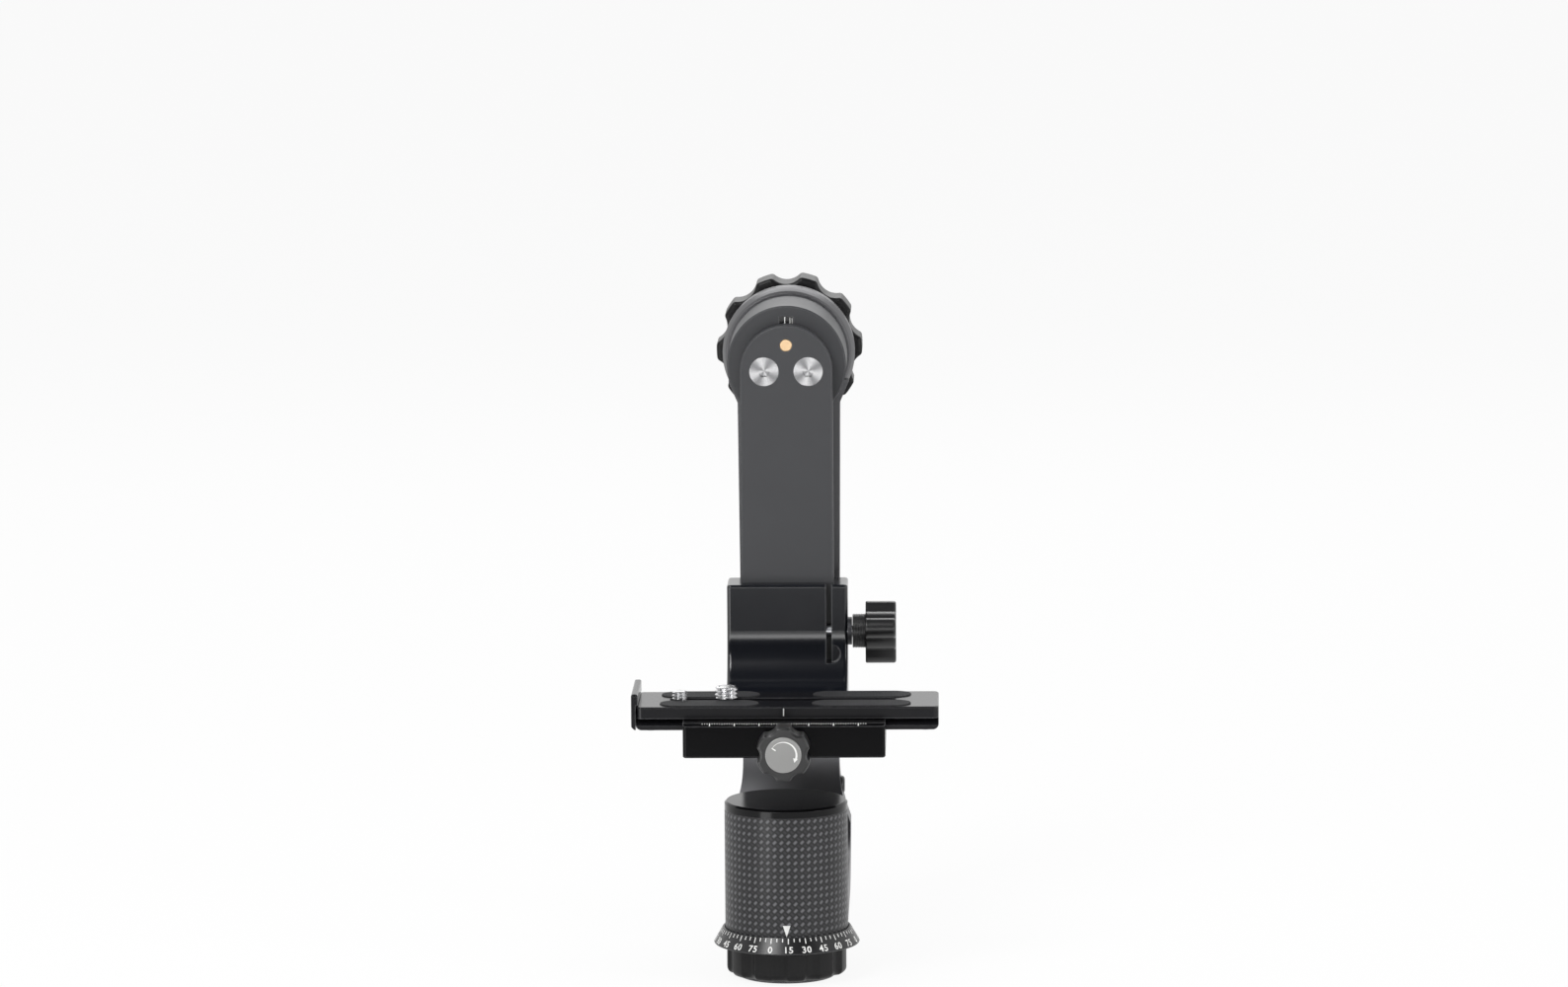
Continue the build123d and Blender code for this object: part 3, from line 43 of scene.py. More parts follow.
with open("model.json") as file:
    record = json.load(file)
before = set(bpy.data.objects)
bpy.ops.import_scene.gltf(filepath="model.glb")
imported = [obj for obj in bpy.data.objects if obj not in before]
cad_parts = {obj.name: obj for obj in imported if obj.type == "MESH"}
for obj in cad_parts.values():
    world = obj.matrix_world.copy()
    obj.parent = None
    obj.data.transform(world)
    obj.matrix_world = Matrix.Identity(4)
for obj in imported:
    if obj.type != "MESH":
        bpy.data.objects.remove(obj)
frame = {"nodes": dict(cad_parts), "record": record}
NODES = frame["nodes"]
SLOT_OF = {part["node"]: part["material_slot"] for part in frame["record"]["subparts"]}
SLOT_COLOUR = {slot["slot"]: tuple(slot["base_color"][:3]) for slot in frame["record"]["materials"]}
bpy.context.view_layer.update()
MM = 0.001
SMALL_SCREW_R = 3.175 * MM
COLOUR = {"size": 3, "min": 0, "max": 1, "subtype": "COLOR"}
LENGTH = {"min": 0, "unit": "LENGTH"}
POWER = {"min": 0, "unit": "POWER"}


# ---- places read from the frame
def low(node):
    """Lowest corner of a CAD node."""
    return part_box(node)[0]


def high(node):
    """Highest corner of a CAD node."""
    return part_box(node)[1]


def middle(node):
    """Middle of a CAD node's box."""
    return (Vector(low(node)) + Vector(high(node))) / 2


def nodes_in(*slots):
    """CAD nodes whose record slot is one of these."""
    return [node for node in NODES if SLOT_OF[node] in slots]


# ---- sizes and colours that a user would change
class MetalFinish(bpy.types.PropertyGroup):
    arm_colour: FloatVectorProperty(
        name="Arms", description="Anodised colour of the swing arm and the housing",
        default=SLOT_COLOUR["arm_black"], **COLOUR)
    rear_arm_sheen: FloatVectorProperty(
        name="Rear Arm", description="Sheen of the upright arm's satin face",
        default=(0.11, 0.11, 0.115), **COLOUR)
    block_colour: FloatVectorProperty(
        name="Bracket", description="Anodised colour of the sliding bracket",
        default=(0.0055, 0.0065, 0.0095), **COLOUR)
    clamp_colour: FloatVectorProperty(
        name="Clamp", description="Anodised colour of the dovetail clamp",
        default=(0.0035, 0.0035, 0.004), **COLOUR)
    plate_colour: FloatVectorProperty(
        name="Plate", description="Anodised colour of the lens plate",
        default=(0.008, 0.008, 0.0095), **COLOUR)
    knob_colour: FloatVectorProperty(
        name="Knobs", description="Colour of the moulded knobs", default=(0.007, 0.007, 0.0075), **COLOUR)
    steel_colour: FloatVectorProperty(
        name="Steel", description="Colour of bare turned steel",
        default=SLOT_COLOUR["bright_steel"], **COLOUR)
    # Edges of this width are rounded in shading and painted lighter, partly as wear and partly as a painted
    # highlight.
    edge_width: FloatProperty(
        name="Edge Width", description="Width of the worn, rounded edges", default=0.35 * MM, **LENGTH)


class SleeveWeave(bpy.types.PropertyGroup):
    tows_round: IntProperty(
        name="Repeats", description="Repeats of the weave round the sleeve", default=56, min=8, max=200)
    dark_tow: FloatVectorProperty(
        name="Dark Tow", description="Colour of the tows that lie away from the light",
        default=(0.008, 0.008, 0.009), **COLOUR)
    light_tow: FloatVectorProperty(
        name="Light Tow", description="Colour of the tows that catch the light",
        default=(0.15, 0.15, 0.16), **COLOUR)


class DegreeScale(bpy.types.PropertyGroup):
    cone_bottom: FloatProperty(
        name="Cone Bottom", description="Radius of the ring's slope at its bottom",
        default=29.9 * MM, **LENGTH)
    cone_top: FloatProperty(
        name="Cone Top", description="Radius of the ring's slope at its top", default=26.1 * MM, **LENGTH)
    tick_width: FloatProperty(
        name="Tick Width", description="Width of each painted tick", default=0.4 * MM, **LENGTH)
    long_tick: FloatProperty(
        name="Long Tick", description="Length of the ticks that carry a number",
        default=2.35 * MM, **LENGTH)
    short_tick: FloatProperty(
        name="Short Tick", description="Length of the ticks between", default=1.5 * MM, **LENGTH)
    figure_height: FloatProperty(
        name="Figure Height", description="Height of the numbers", default=2.7 * MM, **LENGTH)
    first_angle: FloatProperty(
        name="First Angle", description="Azimuth of a zero, from the front towards +X",
        default=radians(-12.5), subtype="ANGLE")
    paint: FloatProperty(
        name="Paint", description="How far painted marks stand proud", default=0.05 * MM, **LENGTH)


class ClampScale(bpy.types.PropertyGroup):
    spacing: FloatProperty(name="Spacing", description="Distance between ticks", default=1 * MM, **LENGTH)
    half_count: IntProperty(
        name="Ticks Each Side", description="Ticks on each side of the middle", default=33, min=1, max=100)
    tick_length: FloatProperty(
        name="Tick Length", description="Length of a plain tick", default=0.7 * MM, **LENGTH)
    ten_length: FloatProperty(
        name="Ten Length", description="Length of every tenth tick", default=1.8 * MM, **LENGTH)


class ScrewThreads(bpy.types.PropertyGroup):
    small_pitch: FloatProperty(
        name="Small Pitch", description="Pitch of the 1/4 inch screw", default=1.27 * MM, **LENGTH)
    large_pitch: FloatProperty(
        name="Large Pitch", description="Pitch of the 3/8 inch screw", default=1.5875 * MM, **LENGTH)
    thread_depth: FloatProperty(
        name="Depth Share", description="Depth of the threads as a share of the pitch",
        default=0.5, min=0, max=0.8)


class StudioLight(bpy.types.PropertyGroup):
    white: FloatVectorProperty(
        name="Backdrop", description="Colour of the floor and of the space behind",
        default=(1, 1, 1), **COLOUR)
    glow: FloatProperty(
        name="Glow", description="How far the floor is seen as plain backdrop", default=0.92, min=0, max=1)
    ambient: FloatProperty(name="Ambient", description="Light that comes from all round", default=0.4, min=0)
    key: FloatProperty(name="Key", description="Power of the main soft light", default=13, **POWER)
    side: FloatProperty(name="Side", description="Power of the soft light on the right", default=7, **POWER)
    top: FloatProperty(name="Top", description="Power of the light overhead", default=8, **POWER)
    rear: FloatProperty(name="Rear", description="Power of the light behind", default=7, **POWER)
    room: FloatVectorProperty(
        name="Room", description="Colour of the dark room in front, seen in gloss only",
        default=(0.05, 0.05, 0.055), **COLOUR)
    horizon: FloatProperty(
        name="Horizon", description="Strength of the bright cards seen in gloss only", default=4.5, min=0)
    camera_distance: FloatProperty(
        name="Camera Distance", description="Camera to the head's middle",
        default=3.0, min=0.5, unit="LENGTH")
    focal_length: FloatProperty(
        name="Focal Length", description="Lens of the camera in millimetres", default=170.03, min=10)


# ---- small helpers for nodes
class Value:
    """A node's output: arithmetic on it adds Math nodes to its tree."""

    def __init__(self, socket):
        self.socket = socket

    def __add__(self, other):
        return maths("ADD", self, other)

    def __radd__(self, other):
        return maths("ADD", other, self)

    def __sub__(self, other):
        return maths("SUBTRACT", self, other)

    def __rsub__(self, other):
        return maths("SUBTRACT", other, self)

    def __mul__(self, other):
        return maths("MULTIPLY", self, other)

    def __truediv__(self, other):
        return maths("DIVIDE", self, other)

    def __rtruediv__(self, other):
        return maths("DIVIDE", other, self)

    def __pow__(self, other):
        return maths("POWER", self, other)


def feed(socket, value):
    """Links a Value to an input, or sets a plain value on it."""
    if isinstance(value, Value):
        socket.id_data.links.new(value.socket, socket)
    else:
        socket.default_value = value


def feed_all(node, **values):
    """Feeds inputs by name, with _ for a space; the node."""
    for label, value in values.items():
        feed(node.inputs[label.replace("_", " ")], value)
    return node


def add_node(tree, kind, **values):
    """New node with its inputs fed; its first output."""
    return Value(feed_all(tree.nodes.new(kind), **values).outputs[0])


def fed_in_order(kind, operation, values):
    """New node with an operation, in the tree of the first Value among its inputs."""
    node = next(value for value in values if isinstance(value, Value)).socket.id_data.nodes.new(kind)
    node.operation = operation
    for socket, value in zip(node.inputs, values):
        feed(socket, value)
    return node


def maths(operation, *values):
    """Result of a Math node."""
    return Value(fed_in_order("ShaderNodeMath", operation, values).outputs[0])


def vector_maths(operation, *values):
    """Result of a Vector Math node."""
    node = fed_in_order("ShaderNodeVectorMath", operation, values)
    return Value(node.outputs["Value" if operation in ("DOT_PRODUCT", "LENGTH") else "Vector"])


def split(place):
    """The three coordinates of a vector."""
    node = feed_all(place.socket.id_data.nodes.new("ShaderNodeSeparateXYZ"), Vector=place)
    return [Value(socket) for socket in node.outputs]


def mixed_colour(factor, first, second):
    """Mix of two colours, by a factor that changes over the surface."""
    node = factor.socket.id_data.nodes.new("ShaderNodeMix")
    node.data_type = "RGBA"
    sockets = [s for s in node.inputs if s.enabled]
    for socket, value in zip(sockets, (factor, first, second)):
        feed(socket, value if isinstance(value, Value) else (*value[:3], 1))
    return Value(next(s for s in node.outputs if s.enabled))


def object_place(tree):
    """Object coordinates of the shaded point."""
    return Value(tree.nodes.new("ShaderNodeTexCoord").outputs["Object"])


def noise(place, scale, detail=2.0):
    """Soft noise over a place."""
    return add_node(place.socket.id_data, "ShaderNodeTexNoise", Vector=place, Scale=scale, Detail=detail)


def tool_marks(rings):
    """Lathe marks along a radius that is counted in rings."""
    node = rings.socket.id_data.nodes.new("ShaderNodeTexNoise")
    node.noise_dimensions = "1D"
    return Value(feed_all(node, W=rings, Scale=1.0, Detail=2.0).outputs[0])


def group_ends(tree):
    """A group's inputs by name, as Values, and its output node."""
    given = tree.nodes.new("NodeGroupInput")
    return {s.name: Value(s) for s in given.outputs if s.name}, tree.nodes.new("NodeGroupOutput")


def shader_group(name, inputs, *outputs):
    """Shader group with named inputs and outputs; the group, its inputs and its output node."""
    group = bpy.data.node_groups.new(name, "ShaderNodeTree")
    for label, value in inputs.items():
        kind = "NodeSocketVector" if isinstance(value, tuple) else "NodeSocketFloat"
        group.interface.new_socket(name=label, in_out="INPUT", socket_type=kind).default_value = value
    for label in outputs:
        kind = "NodeSocketVector" if label == "Normal" else "NodeSocketFloat"
        group.interface.new_socket(name=label, in_out="OUTPUT", socket_type=kind)
    return group, *group_ends(group)


# ---- effects that several finishes share
def build_worn_highlit_edge():
    """Rounds the shading of sharp edges, and marks them where they are rubbed, a mask that also paints a
    highlight along them.
    """
    group, given, out = shader_group("Worn Edge", {"Width": 0.0003, "Rub Size": 400.0}, "Rub", "Normal")
    rub_highlight_reach, least_bend, strength = 2.2, 0.985, 6.0
    flat = Value(group.nodes.new("ShaderNodeNewGeometry").outputs["Normal"])
    rounded = []
    for samples, width in ((4, given["Width"]), (6, given["Width"] * rub_highlight_reach)):
        bevel = group.nodes.new("ShaderNodeBevel")
        bevel.samples = samples
        rounded.append(Value(feed_all(bevel, Radius=width).outputs[0]))
    bend = least_bend - vector_maths("DOT_PRODUCT", rounded[1], flat)
    uneven = noise(object_place(group), given["Rub Size"]) * 0.6 + 0.4
    # Painted highlight and wear: the mask marks edges that bend away sharply, both as rubbed wear and as a
    # painted highlight along them.
    rub = maths("MAXIMUM", bend, 0.0) * strength * uneven
    feed_all(out, Rub=add_node(group, "ShaderNodeClamp", Value=rub), Normal=rounded[0])
    return group


def build_fine_grain():
    """Fine surface grain, and broad soft patches where hands and light change the surface."""
    inputs = {"Grain Scale": 5000.0, "Stretch": (1.0, 1.0, 1.0), "Patch Scale": 40.0}
    group, given, out = shader_group("Fine Grain", inputs, "Height", "Patches")
    place = object_place(group)
    stretched = vector_maths("MULTIPLY", place, given["Stretch"])
    feed_all(out, Height=noise(stretched, given["Grain Scale"], 3.0),
             Patches=noise(place, given["Patch Scale"], 4.0))
    return group


def build_turned_rings():
    """Lathe marks round an axis through Centre; Across keeps the two directions across that axis."""
    inputs = {"Centre": (0.0, 0.0, 0.0), "Across": (1.0, 1.0, 0.0), "Rings": 3500.0}
    group, given, out = shader_group("Turned Rings", inputs, "Height")
    offset = vector_maths("SUBTRACT", object_place(group), given["Centre"])
    radius = vector_maths("LENGTH", vector_maths("MULTIPLY", offset, given["Across"]))
    feed_all(out, Height=tool_marks(radius * given["Rings"]))
    return group


def build_tube_weave():
    """Plain weave laid at 45 degrees on a tube round Z: the height of its tows and their sheen."""
    group, given, out = shader_group("Tube Weave", {"Repeats": 56.0, "Pitch": 0.0028}, "Height", "Sheen")
    x, y, z = split(object_place(group))
    across = maths("ARCTAN2", y, x) / (2 * pi) * given["Repeats"]
    along = z / given["Pitch"]
    first, second = across + along, along - across
    upper = maths("FLOORED_MODULO", maths("FLOOR", first) + maths("FLOOR", second), 2.0)
    lower = 1.0 - upper
    crown_a, crown_b = (maths("SINE", maths("FRACT", way) * pi) for way in (first, second))
    over = crown_b * crown_a ** 0.35
    under = crown_a * crown_b ** 0.35
    lit = crown_a ** 0.5 * crown_b ** 2.2
    dim = crown_b ** 0.8 * crown_a ** 2.6 * 0.16
    feed_all(out, Height=over * upper + under * lower, Sheen=lit * upper + dim * lower)
    return group


MAKERS = {"Worn Edge": build_worn_highlit_edge, "Fine Grain": build_fine_grain,
          "Turned Rings": build_turned_rings, "Tube Weave": build_tube_weave}
EFFECTS = {}


def effect(tree, name, **values):
    """Places a shared effect in a material with its own values; its outputs by name."""
    if name not in EFFECTS:
        EFFECTS[name] = MAKERS[name]()
    node = tree.nodes.new("ShaderNodeGroup")
    node.node_tree = EFFECTS[name]
    return {socket.name: Value(socket) for socket in feed_all(node, **values).outputs}


# ---- finishes
def start_finish(name, **constants):
    """New material with a Principled shader; its tree and that shader."""
    material = bpy.data.materials.new(name)
    material.use_nodes = True
    tree = material.node_tree
    return material, tree, feed_all(tree.nodes["Principled BSDF"], **constants)


def bump(shader, height, depth, **normal):
    """Bump of a depth in millimetres on a shader, over another Normal where there is one."""
    feed_all(shader, Normal=add_node(shader.id_data, "ShaderNodeBump", Distance=depth * MM, Height=height,
                                     **normal))


def surface_finish(name, colour, roughness, metallic=0.0, level=0.5, grain=4500.0, depth=0.006,
                   stretch=(1, 1, 1), mottle=0.12, sheen_change=0.1, edge=0.3, rub=0.35,
                   rub_colour=(0.25, 0.25, 0.26), turned=None):
    """Metal, rubber or plastic with grain, patches of sheen, rounded edges, and rubbed corners painted
    lighter, partly as wear and partly as a painted edge highlight.

    Lengths in millimetres.  turned is (centre, across, rings) where the piece was turned on a lathe.
    """
    material, tree, shader = start_finish(name, Metallic=metallic, Specular_IOR_Level=level)
    edges = effect(tree, "Worn Edge", Width=edge * MM)
    surface = effect(tree, "Fine Grain", Grain_Scale=grain, Stretch=stretch)
    darker = [c * (1 - mottle) for c in colour]
    lighter = [min(1, c * (1 + mottle)) for c in colour]
    base = mixed_colour(surface["Patches"], darker, lighter)
    height = surface["Height"]
    if turned:
        centre, across, rings = turned
        marks = effect(tree, "Turned Rings", Centre=tuple(centre), Across=across, Rings=rings)
        height = marks["Height"] + height * 0.2
    # Painted highlight and wear: the colour goes towards a lighter one on sharp edges.
    feed_all(shader, Base_Color=mixed_colour(edges["Rub"] * rub, base, rub_colour),
             Roughness=surface["Patches"] * sheen_change + (roughness - sheen_change / 2))
    bump(shader, height, depth, Normal=edges["Normal"])
    return material


def white_paint():
    """The flat white paint that all marks share, a little uneven."""
    if "white_mark_paint" in bpy.data.materials:
        return bpy.data.materials["white_mark_paint"]
    material, tree, shader = start_finish("white_mark_paint", Specular_IOR_Level=0.35)
    surface = effect(tree, "Fine Grain", Grain_Scale=3000.0, Patch_Scale=300.0)
    feed_all(shader, Roughness=surface["Height"] * 0.2 + 0.4,
             Base_Color=mixed_colour(surface["Patches"], (0.78, 0.78, 0.77), (0.92, 0.92, 0.9)))
    return material


def weave_finish(settings):
    """Woven carbon under satin lacquer."""
    material, tree, shader = start_finish("carbon_weave", Specular_IOR_Level=0.25, Coat_Weight=0.25,
                                          Coat_Roughness=0.3)
    weave = effect(tree, "Tube Weave", Repeats=float(settings.tows_round),
                   Pitch=2 * pi * high("carbon_sleeve")[0] / settings.tows_round)
    surface = effect(tree, "Fine Grain", Grain_Scale=2500.0, Patch_Scale=60.0)
    lit = weave["Sheen"] * (surface["Patches"] + 0.5)
    feed_all(shader, Base_Color=mixed_colour(lit, settings.dark_tow, settings.light_tow),
             Roughness=surface["Patches"] * 0.12 + 0.4)
    edges = effect(tree, "Worn Edge", Width=0.2 * MM)
    bump(shader, weave["Height"], 0.11, Normal=edges["Normal"])
    return material


def pad_finish():
    """Grip rubber moulded with a fine crossed pattern, and painted shade in its grooves."""
    material, tree, shader = start_finish("grip_rubber", Specular_IOR_Level=0.35)
    x, y, _ = split(vector_maths("MULTIPLY", object_place(tree), (5200.0, 5200.0, 0.0)))
    crossed = maths("SINE", x + y) * maths("SINE", x - y) * 0.5 + 0.5
    surface = effect(tree, "Fine Grain", Grain_Scale=6000.0, Patch_Scale=80.0)
    # Painted shade: the colour is darkest in the grooves of the crossed pattern and lighter on its ridges.
    shade = crossed * (surface["Patches"] + 0.3)
    feed_all(shader, Base_Color=mixed_colour(shade, (0.006, 0.006, 0.007), (0.045, 0.046, 0.05)),
             Roughness=surface["Height"] * 0.15 + 0.68)
    bump(shader, crossed, 0.12)
    return material


def dress(material, *nodes):
    """Gives CAD nodes or new pieces a finish."""
    for node in nodes:
        piece = NODES[node] if isinstance(node, str) else node
        piece.data.materials.clear()
        piece.data.materials.append(material)


def dress_slots(slots, *finish, **look):
    """Makes a surface finish and gives it to the CAD nodes of some slots."""
    dress(surface_finish(*finish, **look), *nodes_in(*slots))


# ---- helpers for new pieces
def linked_object(name, data):
    """New object at the origin, in the scene's collection."""
    thing = bpy.data.objects.new(name, data)
    bpy.context.scene.collection.objects.link(thing)
    return thing


def new_piece(name, mesh, body, material=None):
    """Links a mesh as a piece at the origin that rides on a body and takes a slot's finish."""
    piece = linked_object(name, mesh)
    if material:
        dress(material, piece)
    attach(piece, body)
    return piece


def plain_mesh(name, bm):
    """Mesh from a bmesh, which is freed."""
    mesh = bpy.data.meshes.new(name)
    bm.to_mesh(mesh)
    bm.free()
    return mesh


def closed_mesh(name, bm, smooth_under=None):
    """Mesh from a bmesh with its doubles merged and its faces outwards."""
    bmesh.ops.remove_doubles(bm, verts=bm.verts, dist=1e-7)
    bmesh.ops.recalc_face_normals(bm, faces=bm.faces)
    mesh = plain_mesh(name, bm)
    if smooth_under is not None:
        mesh.polygons.foreach_set("use_smooth", [True] * len(mesh.polygons))
        mesh.set_sharp_from_angle(angle=smooth_under)
    return mesh


def painted_piece(name, bm, body):
    """New piece in white paint."""
    return new_piece(name, closed_mesh(name, bm), body, white_paint())


def stitch(bm, one, other, closed=True):
    """Faces between two rows of vertices, which are loops where closed."""
    for i in range(0 if closed else 1, len(one)):
        bm.faces.new((one[i - 1], one[i], other[i], other[i - 1]))


def facing_front(x, y, z):
    """Place on a front face: outlines lie in X and Z, and thickness goes towards the front."""
    return Matrix(((1, 0, 0, x), (0, 0, -1, y), (0, 1, 0, z), (0, 0, 0, 1)))


def rectangle(left, bottom, right, top):
    """Outline of a rectangle given in millimetres."""
    return [(x * MM, y * MM) for x, y in ((left, bottom), (right, bottom), (right, top), (left, top))]


def plate_shape(bm, outline, thickness, place):
    """Adds a thin closed plate: outline is a loop of (x, y) in the frame that place gives."""
    faces = [[bm.verts.new(place @ Vector((x, y, height))) for x, y in outline] for height in (0, thickness)]
    bm.faces.new(faces[0])
    bm.faces.new(faces[1])
    stitch(bm, *faces)


def turned_shape(bm, profile, centre, along, segments=128):
    """Adds a closed turned ring: profile is a loop of (distance along the axis, radius)."""
    axis = Vector(along)
    side = axis.orthogonal().normalized()
    other = axis.cross(side)
    rings = []
    for i in range(segments):
        spoke = side * cos(2 * pi * i / segments) + other * sin(2 * pi * i / segments)
        rings.append([bm.verts.new(Vector(centre) + axis * a + spoke * r) for a, r in profile])
    for i in range(segments):
        stitch(bm, rings[i - 1], rings[i])


def threaded_shape(bm, centre, bottom, top, outer_r, pitch, depth, inner_r=0.0, segments=72):
    """Adds a closed stud or bush with a helical thread on its outside and blunted ends."""
    rows_per_turn, lead, end_depth, flank, crest = 14, 0.5 * MM, 0.9, 1.25, 0.12
    steps = max(24, round((top - bottom) / pitch * rows_per_turn))
    columns = []
    for i in range(segments):
        turn = i / segments
        spots = []
        for k in range(steps + 1):
            z = bottom + (top - bottom) * k / steps
            wave = abs(2 * ((z / pitch - turn) % 1.0) - 1)
            cut = depth * min(1.0, max(0.0, flank * wave - crest))
            from_end = max(0.0, min(z - bottom, top - z))
            spots.append((min(outer_r - cut, outer_r - depth * end_depth + from_end / lead * depth), z))
        if inner_r:
            spots += [(inner_r, top), (inner_r, bottom)]
        columns.append([bm.verts.new((centre[0] + radius * cos(2 * pi * turn),
                                      centre[1] + radius * sin(2 * pi * turn), z)) for radius, z in spots])
    for i in range(segments):
        stitch(bm, columns[i - 1], columns[i], closed=bool(inner_r))
    if not inner_r:
        bm.faces.new([column[0] for column in columns])
        bm.faces.new([column[-1] for column in columns])


# ---- ticks grown by Geometry Nodes
def tick_tree(name, own_inputs, lay_out):
    """Tree of painted bars that hang from points on a slope.

    lay_out takes the tree's inputs and the index and gives the bars' count, place, turn about Z, width as a
    share of Width, and length as a share of the way from Short to Long.
    """
    tree = bpy.data.node_groups.new(name, "GeometryNodeTree")
    inputs = {**own_inputs, "Lean": "Float", "Width": "Float", "Long": "Float", "Short": "Float",
              "Paint Thickness": "Float", "Paint": "Material"}
    for label, kind in inputs.items():
        tree.interface.new_socket(name=label, in_out="INPUT", socket_type="NodeSocket" + kind)
    tree.interface.new_socket(name="Geometry", in_out="OUTPUT", socket_type="NodeSocketGeometry")
    given, out = group_ends(tree)

    def vector(x, y, z):
        return add_node(tree, "ShaderNodeCombineXYZ", X=x, Y=y, Z=z)

    index = add_node(tree, "GeometryNodeInputIndex")
    count, place, turn, width, length = lay_out(given, index, vector)
    line = add_node(tree, "GeometryNodeMeshLine", Offset=(0, 0, 0), Count=count)
    placed = add_node(tree, "GeometryNodeSetPosition", Geometry=line, Position=place)
    bar = add_node(tree, "GeometryNodeMeshCube",
                   Size=vector(given["Width"], given["Long"], given["Paint Thickness"]))
    hung = add_node(tree, "GeometryNodeTransform", Geometry=bar,
                    Translation=vector(0.0, given["Long"] * -0.5, 0.0))
    share = given["Short"] / given["Long"]
    spread = add_node(tree, "GeometryNodeInstanceOnPoints", Points=placed, Instance=hung,
                      Rotation=vector(given["Lean"], 0.0, turn),
                      Scale=vector(width, share + (1.0 - share) * length, 1.0))
    realised = add_node(tree, "GeometryNodeRealizeInstances", Geometry=spread)
    painted = add_node(tree, "GeometryNodeSetMaterial", Geometry=realised, Material=given["Paint"])
    feed(out.inputs[0], painted)
    return tree


def every(count, number):
    """1 where a number is a multiple of the count, else 0."""
    return maths("LESS_THAN", maths("FLOORED_MODULO", number, count), 0.5)


def ring_tick_tree():
    """Ticks round a cone: a long one every few, short ones between."""
    def lay_out(given, index, vector):
        angle = index * (2 * pi / given["Count"]) + given["First Angle"]
        place = vector(maths("SINE", angle) * given["Radius"],
                       maths("COSINE", angle) * given["Radius"] * -1.0, given["Height"])
        return given["Count"], place, angle, 1.0, every(given["Every"], index)

    own = {"Count": "Int", "Every": "Int", "Radius": "Float", "Height": "Float", "First Angle": "Float"}
    return tick_tree("Ring Ticks", own, lay_out)


def row_tick_tree():
    """Ticks along X on a slope: every fifth is longer and every tenth longest and wider."""
    def lay_out(given, index, vector):
        number = index - given["Half Count"]
        place = vector_maths("ADD", vector(number * given["Spacing"], 0.0, 0.0), given["Start"])
        tenth, fifth = every(10.0, number), every(5.0, number)
        return given["Half Count"] * 2.0 + 1.0, place, 0.0, tenth * 0.8 + 1.0, tenth * 0.7 + fifth * 0.3

    return tick_tree("Row Ticks", {"Half Count": "Int", "Spacing": "Float", "Start": "Vector"}, lay_out)


def evaluated_mesh(holder):
    """Plain mesh of an object with its modifiers or text worked out; the object is removed."""
    graph = bpy.context.evaluated_depsgraph_get()
    mesh = bpy.data.meshes.new_from_object(holder.evaluated_get(graph), depsgraph=graph)
    holder.modifiers.clear()
    bpy.data.objects.remove(holder)
    return mesh


def grown_mesh(name, tree, values):
    """Runs a Geometry Nodes tree with the given inputs and keeps the result as a plain mesh."""
    holder = linked_object(name, bpy.data.meshes.new(name))
    modifier = holder.modifiers.new("Growth", "NODES")
    modifier.node_group = tree
    for item in tree.interface.items_tree:
        if item.item_type == "SOCKET" and item.in_out == "INPUT":
            modifier[item.identifier] = values[item.name]
    return evaluated_mesh(holder)


# ---- operators
class GIMBAL_OT_anodised_metal(bpy.types.Operator):
    """Dress the arms, housing, bracket, clamp, plate, degree ring and cap in anodised black"""
    bl_idname = "gimbal.anodised_metal"
    bl_label = "Anodised Metal"

    def execute(self, context):
        sizes = context.scene.gimbal_metal
        edge = sizes.edge_width / MM
        brushed = {"grain": 2600.0, "stretch": (1.0, 1.0, 0.06), "edge": edge}
        polished = {"grain": 1800.0, "depth": 0.001, "sheen_change": 0.04}
        # The amounts given for rubbed edges paint them lighter, partly as wear and partly as a painted
        # highlight along the edges.
        dress_slots(["arm_black"], "arm_anodised", sizes.arm_colour, 0.46, level=0.45, depth=0.004, rub=0.5,
                    **brushed)
        dress(surface_finish("rear_arm_anodised", sizes.rear_arm_sheen, 0.4, metallic=0.9, depth=0.003,
                             rub=0.25, **brushed), "upright_arm")
        dress_slots(["block_black"], "bracket_anodised", sizes.block_colour, 0.15, level=0.6,
                    edge=edge + 0.15, rub=0.45, **polished)
        dress_slots(["clamp_black"], "clamp_anodised", sizes.clamp_colour, 0.15, level=0.12,
                    edge=edge + 0.1, rub=0.4, **polished)
        dress_slots(["plate_black"], "plate_anodised", sizes.plate_colour, 0.19, level=0.28, depth=0.0015,
                    grain=2200.0, edge=edge, rub=0.5, sheen_change=0.05)
        dress_slots(["ring_black"], "degree_ring_anodised", (0.012, 0.012, 0.013), 0.3, level=0.45,
                    depth=0.003, edge=0.25, rub=0.3, turned=((0, 0, 0), (1, 1, 0), 4200.0))
        dress_slots(["cap_gloss"], "cap_gloss", (0.004, 0.004, 0.0045), 0.15, level=0.2, depth=0.001,
                    edge=0.25, rub=0.25, mottle=0.05)
        dress_slots(["index_black"], "index_gloss", SLOT_COLOUR["index_black"], 0.12, depth=0.001,
                    edge=0.15, rub=0.1)
        return {"FINISHED"}


